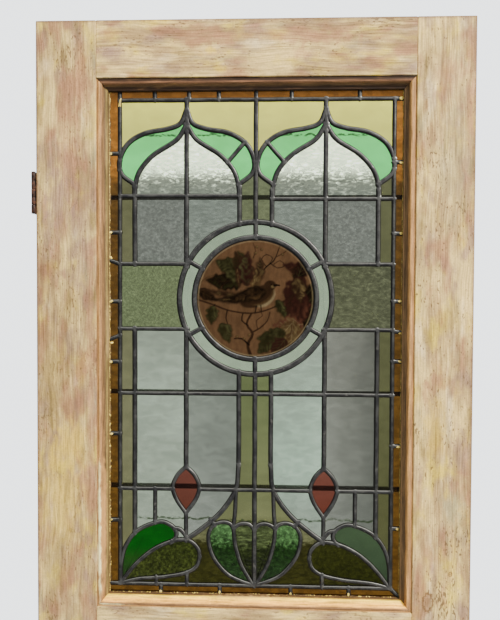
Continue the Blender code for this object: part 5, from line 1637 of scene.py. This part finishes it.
def glass_finishes():
    """The glass and the record's slot of each pane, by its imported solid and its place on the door."""
    top = glass("Straw glass", [(0, (0.48, 0.45, 0.083)), (60, (0.37, 0.35, 0.077))], (25, 25, 40), 0.04, 0.1)
    ogee = glass("Mint glass", [(55, (0.08, 0.35, 0.09)), (120, (0.082, 0.41, 0.105)), (160, (0.073, 0.33, 0.084))],
                 (30, 30, 50), 0.05, 0.1, flecks=(66,))
    # The arches' clear glass: painted light in its upper part, where a bright place behind shows through, painted shade
    # lower down, and painted ripple lines where the two meet.
    arch = glass("Clear glass, rippled",
                 [(90, (0.68, 0.77, 0.51)), (134, (0.68, 0.78, 0.53)), (152, (0.15, 0.165, 0.12)), (192, (0.09, 0.10, 0.08))],
                 (95, 60, 230), 0.18, 0.2, 0.0006, sway=0.040, crest=1.0,
                 ripple=((80, 0.0), (112, 0.06), (140, 0.75), (192, 0.30)))
    # The other clear panes are tinted grey to near-black: painted shade of what lies behind them, lighter or darker
    # from pane to pane and across the light.
    upper = {"inner": (0.091, 0.103, 0.083), "outer": (0.077, 0.082, 0.068)}
    lower = {
        (-1, "outer"): [(450, (0.14, 0.16, 0.12)), (560, (0.17, 0.20, 0.15)), (830, (0.14, 0.16, 0.12))],
        (-1, "inner"): [(450, (0.082, 0.093, 0.072)), (830, (0.096, 0.104, 0.086))],
        (1, "inner"): [(450, (0.15, 0.18, 0.135)), (700, (0.19, 0.25, 0.185)), (830, (0.13, 0.145, 0.115))],
        (1, "outer"): [(450, (0.069, 0.070, 0.056)), (830, (0.074, 0.078, 0.064))],
    }
    painted_light_slopes = {(-1, "inner"): [(-131, 1.2), (-32, 0.98)], (1, "inner"): [(32, 0.88), (125, 1.02)],
              (1, "outer"): [(131, 1.5), (228, 0.78)]}
    clear = {}
    for (side, part), stops in lower.items():
        key = f"Clear glass, {part} {'left' if side < 0 else 'right'}"
        clear[side, part, 1] = glass(key, stops, (38, 60, 80), 0.11, 0.12, 0.0002, crest=0.05,
                                     across=painted_light_slopes.get((side, part), ()), flecks=(795,))
        waves = (170, 110, 230) if part == "outer" else (80, 110, 230)
        clear[side, part, 0] = glass(key.replace("glass", "glass above"), [(195, upper[part]), (300, upper[part])], waves,
                                     0.24, 0.35, 0.0004, crest=0.3)
    side_olive = {
        -1: glass("Olive glass, left", [(160, (0.056, 0.056, 0.026)), (640, (0.085, 0.084, 0.043)), (840, (0.070, 0.070, 0.032))],
                  (40, 40, 60), 0.10, 0.3),
        1: glass("Olive glass, right", [(160, (0.053, 0.054, 0.025)), (840, (0.041, 0.042, 0.016))], (40, 40, 60), 0.10, 0.3),
    }
    middle_olive = glass("Moss glass", [(110, (0.07, 0.08, 0.041)), (230, (0.065, 0.073, 0.037))], (110, 110, 220), 0.22, 0.4)
    # The meadow strips, the petals and the brown ground fall sharply darker between drawn 834 and 855: painted shade
    # low on the light.
    strips = {
        side: glass(f"Meadow glass, {word}", [(500, (0.057, 0.069, 0.027)), (790, (0.073, 0.077, 0.033)),
                                              (834, (0.045, 0.042, 0.014)), (845, (0.019, 0.017, 0.004))],
                    (20, 20, 60), 0.08, 0.2, flecks=(800,), across=across)
        for side, word, across in ((-1, "left", [(-30, 1.0), (0, 1.0)]), (1, "right", [(0, 1.2), (30, 1.12)]))
    }
    square = {
        -1: glass("Sage glass, stippled", [(300, (0.067, 0.082, 0.038)), (440, (0.067, 0.082, 0.038))], (230, 230, 230),
                  0.30, 0.5, crest=0.35),
        1: glass("Sage glass, rolled", [(300, (0.044, 0.047, 0.025)), (440, (0.044, 0.047, 0.025))], (110, 110, 210),
                 0.30, 0.5, crest=0.6),
    }
    ring = glass("Grey green glass", [(230, (0.135, 0.17, 0.112)), (520, (0.155, 0.195, 0.13))], (60, 60, 60), 0.05, 0.2)
    bud = {
        -1: glass("Ruby glass, left", [(697, (0.064, 0.021, 0.014)), (785, (0.055, 0.017, 0.010))], (30, 30, 60), 0.06),
        1: glass("Ruby glass, right", [(697, (0.078, 0.027, 0.018)), (785, (0.066, 0.017, 0.010))], (30, 30, 60), 0.06),
    }
    vivid = glass("Vivid green glass",
                  [(800, (0.0018, 0.034, 0.0015)), (850, (0.0018, 0.034, 0.0015)), (920, (0.012, 0.018, 0.006))],
                  (70, 90, 110), 0.14, crest=0.1)
    pale = glass("Grey leaf glass", [(800, (0.025, 0.041, 0.019)), (920, (0.018, 0.029, 0.014))], (50, 50, 50), 0.06, 0.2)
    dark = {
        -1: glass("Dark leaf glass, left", [(838, (0.012, 0.016, 0.0025)), (920, (0.017, 0.021, 0.004))], (190, 100, 210), 0.60,
                  crest=1.3, bump=0.0005),
        1: glass("Dark leaf glass, right", [(838, (0.013, 0.014, 0.002)), (920, (0.009, 0.010, 0.001))], (150, 100, 190), 0.36,
                 crest=0.3),
    }
    petal = glass("Petal glass", [(800, (0.034, 0.072, 0.023)), (832, (0.030, 0.066, 0.020)), (850, (0.005, 0.015, 0.0025)),
                                  (920, (0.009, 0.019, 0.006))], (130, 120, 170), 0.55, sway=0.035, crest=1.2, bump=0.0006)
    heart = glass("Inner petal glass", [(800, (0.027, 0.035, 0.012)), (834, (0.027, 0.035, 0.012)), (855, (0.008, 0.011, 0.0025)),
                                        (920, (0.0095, 0.0115, 0.004))], (75, 120, 230), 0.65, sway=0.03, crest=1.6, bump=0.0006)
    ground = glass("Brown glass", [(800, (0.058, 0.059, 0.028)), (834, (0.056, 0.056, 0.024)), (842, (0.0135, 0.013, 0.0025)),
                                   (920, (0.0155, 0.0148, 0.0025))], (90, 90, 260), 0.42, sway=0.020)
    # The border's tint is painted shade along the top under the moulding and painted light beside the field's upper
    # end, where the arches are bright; below it is brown, with painted ripple lines along the top.
    amber = glass("Amber glass", [(-30, (0.02, 0.008, 0.002)), (14, (0.18, 0.07, 0.011)), (125, (0.18, 0.07, 0.011)),
                                  (165, (0.05, 0.0245, 0.005)), (925, (0.057, 0.0265, 0.004))], (60, 60, 110), 0.30, sway=0.02,
                  ripple=((-30, 0.5), (0, 0.1)))

    def finish_for(node, middle):
        side = -1 if middle.x < ROUNDEL_MIDDLE.x else 1
        drop = (FIELD_TOP - middle.y) / (FIELD_TOP - FIELD_BOTTOM) * DRAWN_HEIGHT
        away = abs(middle.x - ROUNDEL_MIDDLE.x) / (FIELD_RIGHT - FIELD_LEFT) * 2 * DRAWN_HALF
        if node.startswith("glass_top"):
            return top, "glass_top"
        if node.startswith("glass_ogee"):
            return ogee, "glass_ogee"
        if node.startswith("glass_clear"):
            if drop < SPRING[side] - 5:
                return arch, "glass_clear"
            return clear[side, "inner" if away < ARCH else "outer", 0 if drop < RING_DROP else 1], "glass_clear"
        if node == "glass_olive_middle_lower":
            return strips[side], "glass_olive"
        if node == "glass_olive_middle_upper":
            return middle_olive, "glass_olive"
        if node.startswith("glass_olive"):
            return side_olive[side], "glass_olive"
        if node.startswith("glass_square"):
            return square[side], "glass_square"
        if node.startswith("glass_bud"):
            return bud[side], "glass_bud"
        if node.startswith("glass_leaf_upper"):
            return (vivid, "glass_leaf_vivid") if side < 0 else (pale, "glass_leaf_pale")
        if node.startswith("glass_leaf_lower"):
            return dark[side], "glass_leaf_olive"
        if node.startswith("glass_petals"):
            return (heart if away < 36 else petal), "glass_petal"
        plain = {"glass_ring": ring, "glass_ground": ground, "glass_border": amber}
        for start, finish in plain.items():
            if node.startswith(start):
                return finish, start
        raise ValueError(node)

    return finish_for


def on_face(x, y):
    """A place on the door's face by its distances from the top left corner, in millimetres."""
    return LEFT + x / 1000, TOP - y / 1000


ROSE_PAINT, MAUVE_PAINT, YELLOW_PAINT = (0.33, 0.165, 0.080), (0.30, 0.185, 0.125), (0.58, 0.39, 0.06)
OLIVE_DIRT, BROWN_DIRT, GREY_DIRT = (0.27, 0.18, 0.05), (0.22, 0.12, 0.04), (0.33, 0.28, 0.14)


def make_timber():
    """The frame and the panel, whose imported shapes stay."""
    hinge_smears = [
        (*on_face(78, 120), 0.035, 0.05, ROSE_PAINT, 0.6), (*on_face(60, 250), 0.030, 0.12, ROSE_PAINT, 0.55),
        (*on_face(40, 330), 0.030, 0.06, MAUVE_PAINT, 0.7), (*on_face(85, 400), 0.022, 0.09, MAUVE_PAINT, 0.5),
        (*on_face(30, 660), 0.026, 0.10, OLIVE_DIRT, 0.65), (*on_face(60, 790), 0.040, 0.05, YELLOW_PAINT, 0.7),
        (*on_face(45, 900), 0.045, 0.09, YELLOW_PAINT, 0.6), (*on_face(103, 700), 0.010, 0.30, ROSE_PAINT, 0.6),
        (*on_face(35, 1010), 0.030, 0.07, OLIVE_DIRT, 0.5),
    ]
    lock_smears = [
        (*on_face(803, 165), 0.009, 0.10, ROSE_PAINT, 0.75), (*on_face(760, 100), 0.022, 0.03, ROSE_PAINT, 0.5),
        (*on_face(722, 160), 0.006, 0.016, BROWN_DIRT, 0.8), (*on_face(770, 250), 0.030, 0.12, GREY_DIRT, 0.35),
        (*on_face(745, 760), 0.022, 0.05, YELLOW_PAINT, 0.55), (*on_face(790, 800), 0.022, 0.03, MAUVE_PAINT, 0.6),
        (*on_face(780, 905), 0.020, 0.03, GREY_DIRT, 0.75), (*on_face(730, 1000), 0.018, 0.08, ROSE_PAINT, 0.4),
    ]
    rail_smears = [
        (*on_face(330, 40), 0.060, 0.010, ROSE_PAINT, 0.7), (*on_face(520, 38), 0.085, 0.011, ROSE_PAINT, 0.65),
        (*on_face(500, 65), 0.030, 0.012, ROSE_PAINT, 0.5), (*on_face(150, 60), 0.025, 0.014, MAUVE_PAINT, 0.7),
        (*on_face(640, 52), 0.040, 0.006, OLIVE_DIRT, 0.6), (*on_face(685, 62), 0.022, 0.010, ROSE_PAINT, 0.7),
        (*on_face(330, 58), 0.016, 0.007, YELLOW_PAINT, 0.8), (*on_face(345, 92), 0.016, 0.007, YELLOW_PAINT, 0.8),
    ]
    finishes = {
        "stile_hinge": pine("Hinge stile", False, (0.3, 0.0, 0.0), (0.56, 0.46, 0.42, 0.34, 0.28, 0.24), 0.7, smears=hinge_smears,
                            tone=((0, 0.95), (0.45, 0.9), (1, 1))),
        "stile_lock": pine("Lock stile", False, (5.1, 2.0, 0.0), (0.46, 0.38, 0.42, 0.34, 0.32, 0.26), 0.8, smears=lock_smears,
                           tone=((0, 0.86), (0.5, 0.92), (1, 1)),
                           knots=((*on_face(734.8, 1079.3), 0.011, 1.8), (*on_face(775.4, 1026.2), 0.004, 1.2))),
        "rail_top": pine("Top rail", True, (2.2, 4.0, 0.0), (0.50, 0.44, 0.42, 0.32, 0.28, 0.34), 0.7, smears=rail_smears,
                         tone=((0, 1.12), (0.45, 1), (1, 0.74))),
        "rail_lock": pine("Lock rail", True, (8.1, 1.0, 0.0), (0.38, 0.32, 0.32, 0.26, 0.24, 0.30)),
        "rail_bottom": pine("Bottom rail", True, (11.3, 6.0, 0.0), (0.30, 0.24, 0.26, 0.22, 0.20, 0.22), 0.6),
        "panel_lower": pine("Panel", False, (3.7, 8.0, 0.0), (0.28, 0.22, 0.26, 0.20, 0.18, 0.22)),
    }
    for node, finish in finishes.items():
        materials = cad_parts[node].data.materials
        materials.clear()
        materials.append(finish)


def make_mouldings():
    glazed = (INNER_LEFT, INNER_RIGHT, GLAZED_BOTTOM, GLAZED_TOP)
    lower = (INNER_LEFT, INNER_RIGHT, PANEL_BOTTOM, PANEL_TOP)
    low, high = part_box("glass_moulding_left")
    panel_low, panel_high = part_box("panel_moulding_left")
    bead_low, bead_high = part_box("back_bead_left")
    width, panel_width, bead_width = (h.x - INNER_LEFT for h in (high, panel_high, bead_high))
    dirt, tan, rose, brown = (0.05, 0.022, 0.012), (0.52, 0.27, 0.085), (0.34, 0.16, 0.09), (0.10, 0.055, 0.02)
    dull, soot_and_painted_shade, peach, straw = (0.24, 0.125, 0.05), (0.02, 0.008, 0.002), (0.96, 0.46, 0.07), (0.96, 0.66, 0.05)
    lip, top_bead_with_painted_shade = (0.22, 0.155, 0.04), (0.21, 0.10, 0.05)
    # The groove, the bead's two flanks and crown, the cove and the lip: which old paint is left on each. On the top
    # side the near-black zones and the darker bead are painted shade under the rail, and on the upright and level
    # lengths the dark groove is dirt and painted shade.
    zones = {
        "left": [(0, dull), (5, tan), (9, dull), (13.5, brown), (17.5, lip), (20, brown)],
        "right": [(0, tan), (4, dull), (10, tan), (12.5, brown), (20, brown)],
        "top": [(0, soot_and_painted_shade), (6, soot_and_painted_shade), (9, top_bead_with_painted_shade), (12, brown), (16, soot_and_painted_shade)],
        "bottom": [(0, tan), (2.5, dull), (7.5, dull), (10, peach), (16.5, straw), (19.5, brown)],
        "upright": [(0, dirt), (1.8, dirt), (2.8, tan), (9, tan), (12, rose), (17, brown), (20, tan)],
        "level": [(0, dirt), (1.8, dirt), (2.8, tan), (9, tan), (12, rose), (17, brown), (20, tan)],
    }
    painted_highlight, old_cream = (0.98, 0.86, 0.42), (0.62, 0.42, 0.16)
    # Painted light: the brightest smears are painted highlights of sun on the left bead's lower part and along the
    # bottom moulding's outer edge, and the tan smear is a painted pool of sunlight on the left moulding's lower part;
    # the old cream smears are real old paint.
    smears = {
        "left": [(INNER_LEFT + 0.0115, -0.640, 0.0050, 0.125, tan, 0.75),
                 (INNER_LEFT + 0.0050, -0.600, 0.0034, 0.095, painted_highlight, 1.0),
                 (INNER_LEFT + 0.0050, -0.690, 0.0036, 0.080, painted_highlight, 1.0),
                 (INNER_LEFT + 0.0190, -0.250, 0.0030, 0.060, old_cream, 0.3)],
        "bottom": [(0.150, GLAZED_BOTTOM + 0.004, 0.035, 0.0020, painted_highlight, 0.8),
                   (0.420, GLAZED_BOTTOM + 0.018, 0.10, 0.002, old_cream, 0.5)],
    }
    finishes = {
        key: moulding_finish(
            f"Moulding, {key}", key in ("top", "bottom", "level"), (i * 1.7, i * 0.9, 0), zone, width, smears.get(key, ())
        )
        for i, (key, zone) in enumerate(zones.items())
    }
    section = moulding_section(width, high.y - low.y, 0.0003)
    run_mouldings("glass_moulding", glazed, section, low.y, finishes)
    plain = {key: finishes[key] for key in ("upright", "level")}
    section = moulding_section(panel_width, panel_high.y - panel_low.y, 0.0003)
    run_mouldings("panel_moulding", lower, section, panel_low.y, plain)
    section = back_bead_section(bead_width, bead_high.y - bead_low.y, 0.0003)
    run_mouldings("back_bead", glazed, section, bead_low.y, plain)

    sides = opening_sides(glazed)
    old_straw, shade = (0.60, 0.45, 0.10), (0.05, 0.031, 0.010)
    # Towards the glass each putty turns to the shade colour, painted shade at the foot of the sight edge; along the top
    # the putty is painted shade throughout, and its cracks are near-black.
    putties = {
        "left": putty_finish("Putty, left", [(0.0, lip), (0.5, brown), (1.0, shade)], soot_and_painted_shade, 0.5, 0.9),
        "right": putty_finish("Putty, right", [(0.0, lip), (1.0, shade)], soot_and_painted_shade, 0.5, 0.5),
        "top": putty_finish("Putty, top", [(0.0, shade), (1.0, soot_and_painted_shade)], soot_and_painted_shade, 0.5),
        "bottom": putty_finish("Putty, bottom", [(0.0, brown), (1.0, shade)], soot_and_painted_shade, 0.55, 0.9),
    }
    for side, widths, seed in (
        ("left", (0.0012, 0.0036), 3), ("right", (0.0005, 0.0019), 5),
        ("top", (0.0002, 0.0008), 8), ("bottom", (0.0003, 0.0016), 13),
    ):
        fillet = putty_line(sides[side], widths, seed)
        set_down(fillet, f"old_putty_{side}", putties[side])
    dabs = paint_dabs(width)
    old_paint = putty_finish("Old paint", [(0.0, old_straw), (1.0, old_straw)], (0.10, 0.07, 0.03), 0.3)
    set_down(dabs, "dabs_of_old_paint", old_paint)


make_timber()
make_light()
make_mouldings()
bar_rust = rusty("Rusty bar")
for bar in ("upper", "middle", "lower"):
    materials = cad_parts[f"saddle_bar_{bar}"].data.materials
    materials.clear()
    materials.append(bar_rust)
hang_hinges(rusty("Rusty hinge"), rusty("Screw iron", Iron=(0.05, 0.045, 0.04)))
set_stage()
set_camera()
